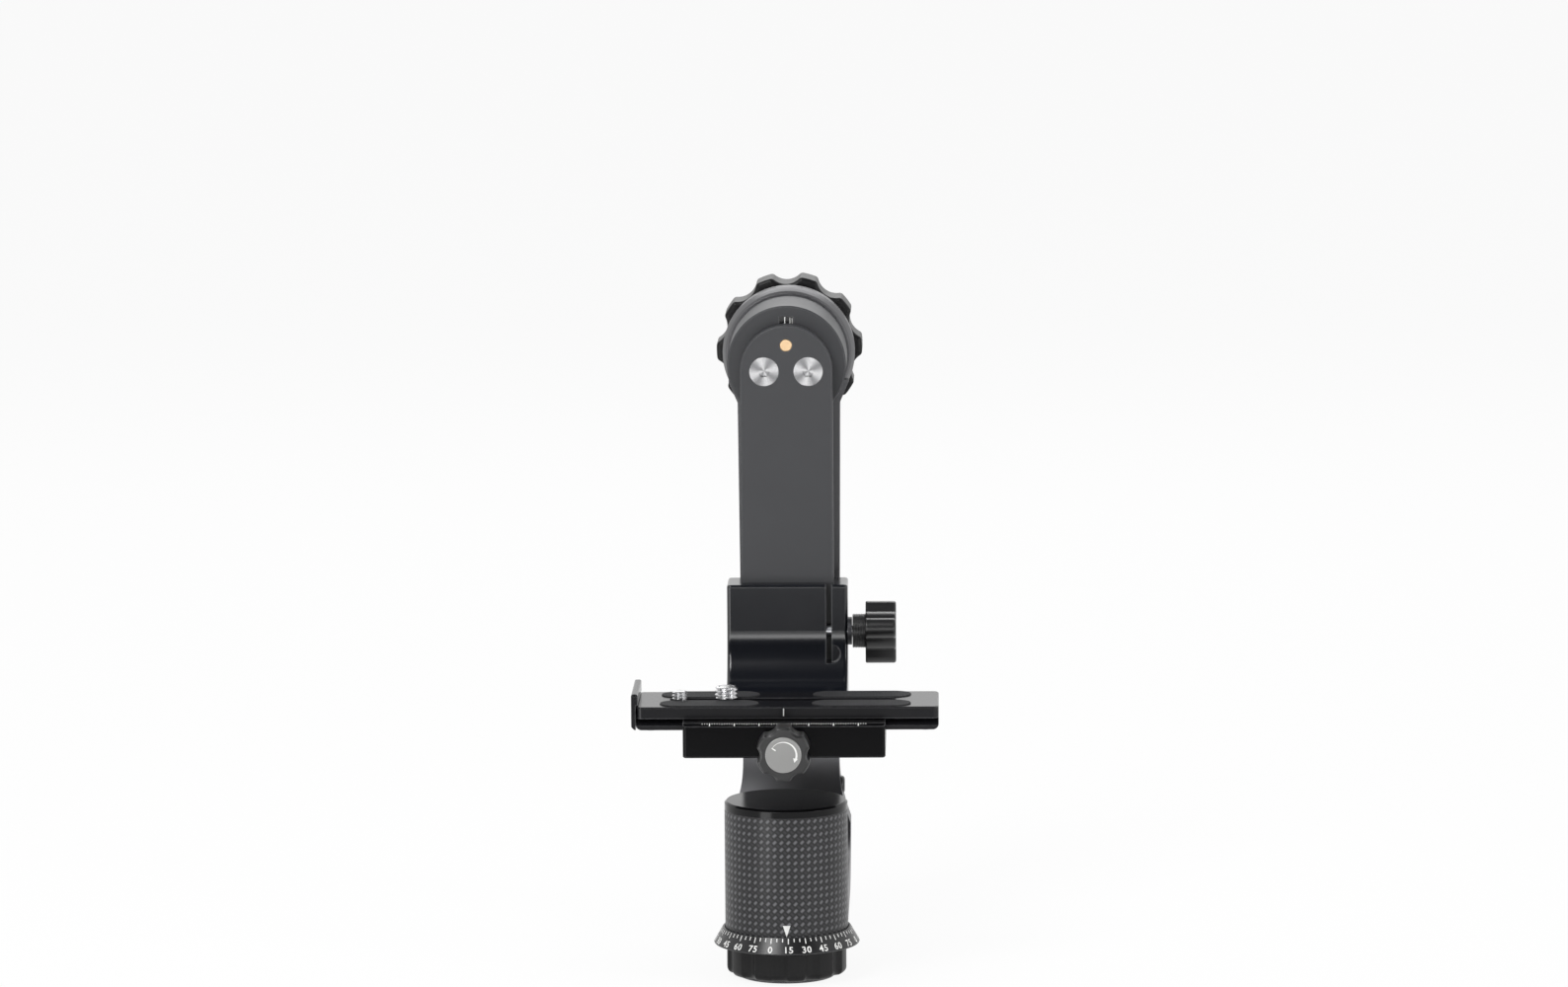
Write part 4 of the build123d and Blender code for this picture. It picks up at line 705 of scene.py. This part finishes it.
class GIMBAL_OT_steel_and_brass(bpy.types.Operator):
    """Dress the screws, pins, shaft, spindle, bearings and bushes in turned steel and brass"""
    bl_idname = "gimbal.steel_and_brass"
    bl_label = "Steel and Brass"

    def execute(self, context):
        bright = context.scene.gimbal_metal.steel_colour
        upright, forward = (1, 1, 0), (1, 0, 1)
        dress_slots(["steel", "spring_steel", "bearing_steel"], "turned_steel", SLOT_COLOUR["steel"], 0.3,
                    metallic=1.0, grain=3000.0, depth=0.004, turned=((0, 0, 0), upright, 2600.0), rub=0.2,
                    rub_colour=(0.7, 0.7, 0.7))
        blackened = surface_finish("black_oxide", SLOT_COLOUR["screw_black"], 0.42, metallic=0.7,
                                   depth=0.004, rub=0.5)
        dress(blackened, "height_washer", *nodes_in("screw_black", "steel_plate"))
        # Bright steel edges painted lighter: partly polish, partly a painted edge highlight.
        polished_and_highlit_edge = (0.85, 0.85, 0.85)
        for node in nodes_in("bright_steel"):
            if node != "arm_screws":
                dress(surface_finish(node + "_steel", bright, 0.22, metallic=1.0, depth=0.003, edge=0.12,
                                     turned=(middle(node), upright, 3200.0), rub=0.1,
                                     rub_colour=polished_and_highlit_edge), node)
        head = surface_finish("arm_screw_steel", [c * 0.62 for c in bright], 0.24, metallic=1.0,
                              depth=0.006, edge=0.15, rub=0.3, rub_colour=polished_and_highlit_edge)
        self.turn_both_heads(head)
        dress(head, "arm_screws")
        pin_r = 2.65 * MM
        dress_slots(["brass"], "turned_brass", (0.62, 0.44, 0.26), 0.3, metallic=0.85, depth=0.005, edge=0.2,
                    turned=((0, 0, high("locating_pin")[2] - pin_r), forward, 3600.0),
                    rub=0.3, rub_colour=(0.9, 0.75, 0.5))
        return {"FINISHED"}

    @staticmethod
    def turn_both_heads(material):
        """Tool marks round each of the two arm screws, which lie evenly about X = 0, with dark spoke-like
        bands painted into their colour as painted reflection of the turned heads.
        """
        tree = material.node_tree
        lowest, highest = low("arm_screws"), high("arm_screws")
        apart = highest[0] - (highest[2] - lowest[2]) / 2
        x, _, z = split(object_place(tree))
        side = maths("ABSOLUTE", x) - apart
        up = z - middle("arm_screws")[2]
        rings_to_the_metre = 3400.0
        rings = maths("SQRT", side * side + up * up) * rings_to_the_metre
        feed_all(next(n for n in tree.nodes if n.type == "BUMP"), Height=tool_marks(rings))
        # Painted reflection: dark bands by angle round each head, mixed into the colour, stand in for the
        # radial streaks that turned steel reflects.
        painted_spoke_shade = maths("ABSOLUTE", maths("SINE", maths("ARCTAN2", up, side) * 2.0 + 0.5))
        shader = tree.nodes["Principled BSDF"]
        colour = Value(shader.inputs["Base Color"].links[0].from_socket)
        feed_all(shader, Base_Color=mixed_colour(painted_spoke_shade ** 2.0 * 0.75, colour, (0.1, 0.1, 0.105)))


class GIMBAL_OT_knobs_and_plugs(bpy.types.Operator):
    """Dress the knobs and plugs in rubber and moulded plastic"""
    bl_idname = "gimbal.knobs_and_plugs"
    bl_label = "Knobs and Plugs"

    def execute(self, context):
        colour = context.scene.gimbal_metal.knob_colour
        dress_slots(["rubber_black"], "knob_rubber", colour, 0.38, level=0.22, grain=2600.0, depth=0.02,
                    edge=0.5, rub=0.2, rub_colour=(0.1, 0.1, 0.105), mottle=0.2)
        dress_slots(["plastic_black"], "moulded_plastic", colour, 0.33, level=0.6, grain=2400.0,
                    depth=0.008, edge=0.4, rub=0.2, rub_colour=(0.12, 0.12, 0.125))
        dress(pad_finish(), *nodes_in("pad_rubber"))
        dress_slots(["silver_cap"], "turned_silver", (0.27, 0.27, 0.265), 0.42, metallic=0.75, depth=0.003,
                    edge=0.25, rub=0.6, rub_colour=(0.9, 0.9, 0.9),
                    turned=(middle("clamp_knob_cap"), (1, 0, 1), 4200.0))
        return {"FINISHED"}


class GIMBAL_OT_carbon_sleeve(bpy.types.Operator):
    """Weave the carbon sleeve of the turret"""
    bl_idname = "gimbal.carbon_sleeve"
    bl_label = "Carbon Sleeve"

    def execute(self, context):
        dress(weave_finish(context.scene.gimbal_weave), "carbon_sleeve")
        return {"FINISHED"}


class GIMBAL_OT_degree_scale(bpy.types.Operator):
    """Paint the ticks and numbers on the degree ring"""
    bl_idname = "gimbal.degree_scale"
    bl_label = "Degree Scale"

    def execute(self, context):
        sizes = context.scene.gimbal_degrees
        ticks, ticks_per_figure, figures, step = 72, 3, 24, 15
        tick_gap, figure_down = 0.35 * MM, 5.25 * MM
        top_r, top_z = sizes.cone_top, high("degree_ring")[2]
        widening, height = sizes.cone_bottom - top_r, top_z - low("degree_ring")[2]
        slope = hypot(widening, height)
        down, out = (widening / slope, -height / slope), (height / slope, widening / slope)
        mesh = grown_mesh("degree_ticks", ring_tick_tree(), {
            "Count": ticks, "Every": ticks_per_figure, "Radius": top_r + down[0] * tick_gap,
            "Height": top_z + down[1] * tick_gap, "Lean": atan2(height, widening),
            "First Angle": sizes.first_angle, "Width": sizes.tick_width, "Long": sizes.long_tick,
            "Short": sizes.short_tick, "Paint Thickness": 2 * sizes.paint, "Paint": white_paint()})
        new_piece("degree_ticks", mesh, "base")
        bm = bmesh.new()
        for k in range(figures):
            figure = self.figure_mesh(str(step * (k % (90 // step))), sizes)
            heights = [v.co.y for v in figure.vertices]
            centre_y = (max(heights) + min(heights)) / 2
            for vertex in figure.vertices:
                along = figure_down - (vertex.co.y - centre_y)
                radius = top_r + down[0] * along
                angle = sizes.first_angle + radians(step * k) + vertex.co.x / radius
                radius += out[0] * vertex.co.z
                z = top_z + down[1] * along + out[1] * vertex.co.z
                vertex.co = (radius * sin(angle), -radius * cos(angle), z)
            bm.from_mesh(figure)
            bpy.data.meshes.remove(figure)
        painted_piece("degree_numbers", bm, "base")
        return {"FINISHED"}

    @staticmethod
    def figure_mesh(body, sizes):
        """Flat mesh of a number, centred on its own origin."""
        height_share = 0.7
        text = bpy.data.curves.new("figure", "FONT")
        text.body = body
        text.align_x = text.align_y = "CENTER"
        text.size = sizes.figure_height / height_share
        text.space_character = 1.12
        text.offset = 0.025 * sizes.figure_height
        text.extrude = sizes.paint
        text.resolution_u = 4
        return evaluated_mesh(linked_object("figure", text))


class GIMBAL_OT_index_triangle(bpy.types.Operator):
    """Paint the white triangle on the sleeve that points at the degree ring"""
    bl_idname = "gimbal.index_triangle"
    bl_label = "Index Triangle"

    def execute(self, context):
        radius, proud = high("carbon_sleeve")[0], context.scene.gimbal_degrees.paint
        half, top, tip, azimuth = 1.55 * MM, 25.0 * MM, 20.25 * MM, radians(1.1)
        rows, steps, blunt = 8, 8, 0.02
        bm = bmesh.new()
        rims = []
        for r in (radius - proud, radius + proud):
            grid = []
            for k in range(rows + 1):
                width = half * max(blunt, 1 - k / rows)
                z = top + (tip - top) * k / rows
                angles = [azimuth + (2 * i / steps - 1) * width / r for i in range(steps + 1)]
                grid.append([bm.verts.new((r * sin(a), -r * cos(a), z)) for a in angles])
            for above, below in zip(grid, grid[1:]):
                stitch(bm, above, below, closed=False)
            rims.append(grid[0] + [row[-1] for row in grid[1:]] + grid[-1][-2::-1]
                        + [row[0] for row in grid[-2:0:-1]])
        stitch(bm, *rims)
        painted_piece("index_triangle", bm, "turret")
        return {"FINISHED"}


class GIMBAL_OT_lens_screws(bpy.types.Operator):
    """Cut the threads of the two captive lens screws"""
    bl_idname = "gimbal.lens_screws"
    bl_label = "Lens Screws"

    def execute(self, context):
        sizes = context.scene.gimbal_threads
        bottom = high("lens_plate")[2] - 0.3 * MM
        overlap = 0.1 * MM
        bm = bmesh.new()
        bm.from_mesh(NODES["lens_screw_left"].data)
        bmesh.ops.remove_doubles(bm, verts=bm.verts, dist=1e-7)
        bmesh.ops.bisect_plane(bm, geom=bm.verts[:] + bm.edges[:] + bm.faces[:], clear_outer=True,
                               plane_co=(0, 0, bottom + overlap), plane_no=(0, 0, 1))
        bmesh.ops.holes_fill(bm, edges=[e for e in bm.edges if e.is_boundary])
        pitch = sizes.small_pitch
        threaded_shape(bm, middle("lens_screw_left"), bottom, high("lens_screw_left")[2], SMALL_SCREW_R,
                       pitch, sizes.thread_depth * pitch)
        piece = self.steel_piece("small_lens_screw", bm, "screw_left", "lens_screw_left")
        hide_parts("lens_screw_left")
        bm = bmesh.new()
        pitch = sizes.large_pitch
        lowest, highest = low("stud_bush"), high("stud_bush")
        threaded_shape(bm, middle("stud_bush"), lowest[2], highest[2], (highest[0] - lowest[0]) / 2, pitch,
                       sizes.thread_depth * pitch, inner_r=SMALL_SCREW_R, segments=96)
        piece = self.steel_piece("large_thread_bush", bm, "screw_right", "stud_bush")
        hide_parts("stud_bush")
        return {"FINISHED"}

    @staticmethod
    def steel_piece(name, bm, body, node):
        """Smooth new piece in the finish of a CAD node."""
        mesh = closed_mesh(name, bm, smooth_under=radians(40))
        return new_piece(name, mesh, body, NODES[node].data.materials[0])


class GIMBAL_OT_clamp_scale(bpy.types.Operator):
    """Paint the millimetre scale on the clamp jaw's sloped edge"""
    bl_idname = "gimbal.clamp_scale"
    bl_label = "Clamp Scale"

    def execute(self, context):
        sizes = context.scene.gimbal_clamp
        top, front = high("clamp_jaw")[2], low("clamp_jaw")[1]
        rise, run, inset = 1.1 * MM, 2.2 * MM, 0.25 * MM
        lean = atan2(rise, run)
        mesh = grown_mesh("clamp_ticks", row_tick_tree(), {
            "Half Count": sizes.half_count, "Spacing": sizes.spacing, "Lean": lean, "Width": 0.22 * MM,
            "Start": (0.0, front + run - inset * cos(lean), top - inset * sin(lean)),
            "Long": sizes.ten_length, "Short": sizes.tick_length,
            "Paint Thickness": 2 * context.scene.gimbal_degrees.paint, "Paint": white_paint()})
        new_piece("clamp_ticks", mesh, "jaw")
        return {"FINISHED"}


class GIMBAL_OT_knob_arrow(bpy.types.Operator):
    """Paint the tightening arrow on the clamp knob's silver cap"""
    bl_idname = "gimbal.knob_arrow"
    bl_label = "Knob Arrow"

    def execute(self, context):
        proud = context.scene.gimbal_degrees.paint
        centre = middle("clamp_knob_cap")
        place = facing_front(centre[0], low("clamp_knob_cap")[1], centre[2])
        radius, start, end, tip, steps = 5.3, radians(146), radians(-16), radians(-35), 48

        def spot(distance, angle):
            return distance * MM * cos(angle), distance * MM * sin(angle)

        outer, inner = [], []
        for i in range(steps + 1):
            angle = start + (end - start) * i / steps
            half = 0.07 + 0.36 * i / steps
            outer.append(spot(radius + half, angle))
            inner.append(spot(radius - half, angle))
        head = [spot(radius + 0.75, end), spot(radius - 1.2, end), spot(radius + 0.05, tip)]
        begin, bar_ends, bar_half = radians(148), (5.5, 3.6), 0.24
        across = Vector((-sin(begin), cos(begin))) * bar_half * MM
        ends = [Vector(spot(distance, begin)) for distance in bar_ends]
        bar = [ends[0] + across, ends[0] - across, ends[1] - across, ends[1] + across]
        bm = bmesh.new()
        for outline in (outer + inner[::-1], head, bar):
            plate_shape(bm, outline, proud, place)
        painted_piece("knob_arrow", bm, "clamp_knob")
        return {"FINISHED"}


class GIMBAL_OT_height_knob_grooves(bpy.types.Operator):
    """Turn the fine grooves on the height knob's collar"""
    bl_idname = "gimbal.height_knob_grooves"
    bl_label = "Height Knob Grooves"

    def execute(self, context):
        axis = middle("height_screw")
        length, radius, proud, buried, ridges = 5.3 * MM, 6.8 * MM, 0.22 * MM, 0.3 * MM, 8
        pitch = length / ridges
        profile = [(0.0, radius - buried)]
        for i in range(ridges):
            profile += [((i + share) * pitch, radius + rise)
                        for share, rise in ((0.12, 0.0), (0.35, proud), (0.65, proud), (0.88, 0.0))]
        profile.append((length, radius - buried))
        bm = bmesh.new()
        turned_shape(bm, profile, (low("height_knob")[0], axis[1], axis[2]), (1, 0, 0))
        mesh = closed_mesh("height_knob_grooves", bm, smooth_under=radians(30))
        new_piece("height_knob_grooves", mesh, "height_knob",
                  NODES["height_knob"].data.materials[0])
        return {"FINISHED"}


class GIMBAL_OT_small_marks(bpy.types.Operator):
    """Paint the tilt index lines and the plate's centre line"""
    bl_idname = "gimbal.small_marks"
    bl_label = "Small Marks"

    def execute(self, context):
        proud = context.scene.gimbal_degrees.paint
        bm = bmesh.new()
        place = facing_front(0, low("tilt_index")[1], middle("tilt_index")[2])
        for x, half_width, half_height in ((-0.6, 0.2, 1.75), (1.55, 0.14, 1.4), (2.4, 0.1, 1.4)):
            outline = rectangle(x - half_width, -half_height, x + half_width, half_height)
            plate_shape(bm, outline, proud, place)
        painted_piece("tilt_index_lines", bm, "turret")
        bm = bmesh.new()
        place = facing_front(-0.3 * MM, low("lens_plate")[1], high("lens_plate")[2])
        plate_shape(bm, rectangle(-0.2, -3.7, 0.2, -0.6), proud, place)
        painted_piece("plate_centre_line", bm, "plate")
        return {"FINISHED"}


class GIMBAL_OT_studio(bpy.types.Operator):
    """Set the pale floor, soft lights and the camera"""
    bl_idname = "gimbal.studio"
    bl_label = "Studio"

    def execute(self, context):
        scene = context.scene
        settings = scene.gimbal_studio
        self.floor(settings)
        self.world(scene, settings)
        self.gloss_cards(settings)
        for name, azimuth, elevation, distance, size, power, in_gloss in (
                ("key_light", -32, 46, 1.7, (0.55, 0.9), settings.key, True),
                ("side_light", 62, 14, 1.9, (0.35, 1.2), settings.side, True),
                ("top_light", 15, 80, 1.6, (1.2, 1.0), settings.top, False),
                ("rear_light", 180, 35, 1.8, (1.2, 0.8), settings.rear, True)):
            light = bpy.data.lights.new(name, "AREA")
            light.shape = "RECTANGLE"
            light.size, light.size_y = size
            light.energy = power
            lamp = self.aimed(name, light, (0, 0.05, 0.14), azimuth, elevation, distance)
            lamp.visible_camera = False
            lamp.visible_glossy = in_gloss
        self.camera(scene, settings)
        scene.view_settings.view_transform = "Standard"
        return {"FINISHED"}

    @staticmethod
    def direction(azimuth, elevation):
        """Unit vector to an azimuth, in degrees from the front towards +X, and an elevation."""
        a, e = radians(azimuth), radians(elevation)
        return Vector((sin(a) * cos(e), -cos(a) * cos(e), sin(e)))

    def aimed(self, name, data, target, azimuth, elevation, distance, roll=0.0):
        """Lamp or camera that looks at a target from an azimuth, elevation and distance."""
        back = self.direction(azimuth, elevation)
        thing = linked_object(name, data)
        thing.location = Vector(target) + back * distance
        thing.rotation_mode = "QUATERNION"
        facing = (-back).to_track_quat("-Z", "Y").to_matrix() @ Matrix.Rotation(radians(roll), 3, "Z")
        thing.rotation_quaternion = facing.to_quaternion()
        return thing

    @staticmethod
    def seen_directly(tree):
        """1 for camera, glossy and transmission rays, else 0."""
        path = tree.nodes.new("ShaderNodeLightPath").outputs
        camera, gloss, through = (Value(path["Is %s Ray" % ray])
                                  for ray in ("Camera", "Glossy", "Transmission"))
        return maths("MAXIMUM", maths("MAXIMUM", camera, gloss), through)

    def floor(self, settings):
        """White floor that is seen as plain backdrop and keeps the head's shadow."""
        bm = bmesh.new()
        bmesh.ops.create_grid(bm, x_segments=4, y_segments=4, size=30)
        bmesh.ops.translate(bm, verts=bm.verts, vec=(0, 0, low("mount_disc")[2] - 0.4 * MM))
        floor = linked_object("floor", plain_mesh("floor", bm))
        material, tree, shader = start_finish("floor_white", Roughness=1.0, Specular_IOR_Level=0.0,
                                              Base_Color=(*(0.9 * c for c in settings.white), 1))
        glow = add_node(tree, "ShaderNodeEmission", Color=(*settings.white, 1))
        blend = tree.nodes.new("ShaderNodeMixShader")
        shares = (self.seen_directly(tree) * settings.glow, Value(shader.outputs[0]), glow)
        for socket, value in zip(blend.inputs, shares):
            feed(socket, value)
        feed_all(tree.nodes["Material Output"], Surface=Value(blend.outputs[0]))
        floor.data.materials.append(material)

    def gloss_cards(self, settings):
        """Cards that only show in gloss: the dark room in front, bright bands and the dark near floor."""
        white = (1, 1, 1)
        for name, azimuths, elevations, colour, strength in (
                ("dark_room", (-75, 75), (5, 20, 35, 50, 70, 90, 110, 128), settings.room, 1.0),
                ("bright_horizon", (-60, 60), (-2.5, 4.5), white, settings.horizon),
                ("bright_window", (-46, -26), (-40, -20, -3), white, settings.horizon),
                ("high_window", (-54, -9), (42, 60), white, settings.horizon)):
            self.gloss_card(name, self.curved_card(azimuths, elevations), colour, strength)
        level = low("mount_disc")[2] - 0.2 * MM
        bm = bmesh.new()
        bm.faces.new([bm.verts.new((x, y, level)) for x, y in (
            (-0.5, -0.98), (0.5, -0.98), (0.4, -0.62), (-0.4, -0.62))])
        self.gloss_card("dark_floor", bm, settings.room, 1.0)

    def curved_card(self, azimuths, elevations):
        """Part of a ball round the head, drawn in below its middle so that it stays above the floor."""
        radius, middle_height, depth_below, steps = 2.6, 0.15, 0.14, 24
        bm = bmesh.new()
        rows = []
        for elevation in elevations:
            reach = min(radius, depth_below / sin(radians(-elevation))) if elevation < 0 else radius
            turns = [azimuths[0] + (azimuths[1] - azimuths[0]) * i / steps for i in range(steps + 1)]
            spots = [self.direction(turn, elevation) * reach for turn in turns]
            rows.append([bm.verts.new((x, y, middle_height + z)) for x, y, z in spots])
        for below, above in zip(rows, rows[1:]):
            stitch(bm, below, above, closed=False)
        return bm

    @staticmethod
    def gloss_card(name, bm, colour, strength):
        """Glowing card that no ray but a glossy one meets."""
        card = linked_object(name, plain_mesh(name, bm))
        material, tree, _ = start_finish(name)
        glow = add_node(tree, "ShaderNodeEmission", Color=(*colour, 1), Strength=strength)
        feed_all(tree.nodes["Material Output"], Surface=glow)
        card.data.materials.append(material)
        for ray in ("camera", "diffuse", "transmission", "volume_scatter", "shadow"):
            setattr(card, "visible_" + ray, False)

    def world(self, scene, settings):
        """Even light all round, which the camera and gloss see as the backdrop."""
        world = bpy.data.worlds.new("studio")
        world.use_nodes = True
        direct = self.seen_directly(world.node_tree)
        feed_all(world.node_tree.nodes["Background"], Color=(*settings.white, 1),
                 Strength=settings.ambient + direct * (1 - settings.ambient))
        scene.world = world

    def camera(self, scene, settings):
        """Camera in front, 1.3 degrees to the right and 8 degrees up, rolled by 0.4 degrees."""
        data = bpy.data.cameras.new("camera")
        data.sensor_width = 36
        data.lens = settings.focal_length
        data.clip_start, data.clip_end = 0.1, 100
        scene.camera = self.aimed("camera", data, (0.07 * MM, 0, 198.4 * MM), 1.3, 8,
                                  settings.camera_distance, roll=-0.4)


# ---- panel and registration
SETTINGS = {"gimbal_metal": MetalFinish, "gimbal_weave": SleeveWeave, "gimbal_degrees": DegreeScale,
            "gimbal_clamp": ClampScale, "gimbal_threads": ScrewThreads, "gimbal_studio": StudioLight}
OPERATORS = (GIMBAL_OT_anodised_metal, GIMBAL_OT_steel_and_brass, GIMBAL_OT_knobs_and_plugs,
             GIMBAL_OT_carbon_sleeve, GIMBAL_OT_degree_scale, GIMBAL_OT_index_triangle, GIMBAL_OT_lens_screws,
             GIMBAL_OT_clamp_scale, GIMBAL_OT_knob_arrow, GIMBAL_OT_height_knob_grooves,
             GIMBAL_OT_small_marks, GIMBAL_OT_studio)


class GIMBAL_PT_panel(bpy.types.Panel):
    """Sizes and colours of the head, and its operators in order"""
    bl_idname = "GIMBAL_PT_panel"
    bl_label = "Gimbal Head"
    bl_space_type = "VIEW_3D"
    bl_region_type = "UI"
    bl_category = "Gimbal Head"

    def draw(self, context):
        for name, group in SETTINGS.items():
            box = self.layout.box()
            for label in group.__annotations__:
                box.prop(getattr(context.scene, name), label)
        for operator in OPERATORS:
            self.layout.operator(operator.bl_idname)


def register():
    for cls in (*SETTINGS.values(), *OPERATORS, GIMBAL_PT_panel):
        bpy.utils.register_class(cls)
    for name, group in SETTINGS.items():
        setattr(bpy.types.Scene, name, PointerProperty(type=group))


def unregister():
    for name in SETTINGS:
        delattr(bpy.types.Scene, name)
    for cls in (GIMBAL_PT_panel, *OPERATORS, *SETTINGS.values()):
        bpy.utils.unregister_class(cls)


def main():
    """Makes every piece in order."""
    register()
    for operator in OPERATORS:
        family, action = operator.bl_idname.split(".")
        getattr(getattr(bpy.ops, family), action)()


if __name__ == "__main__":
    main()
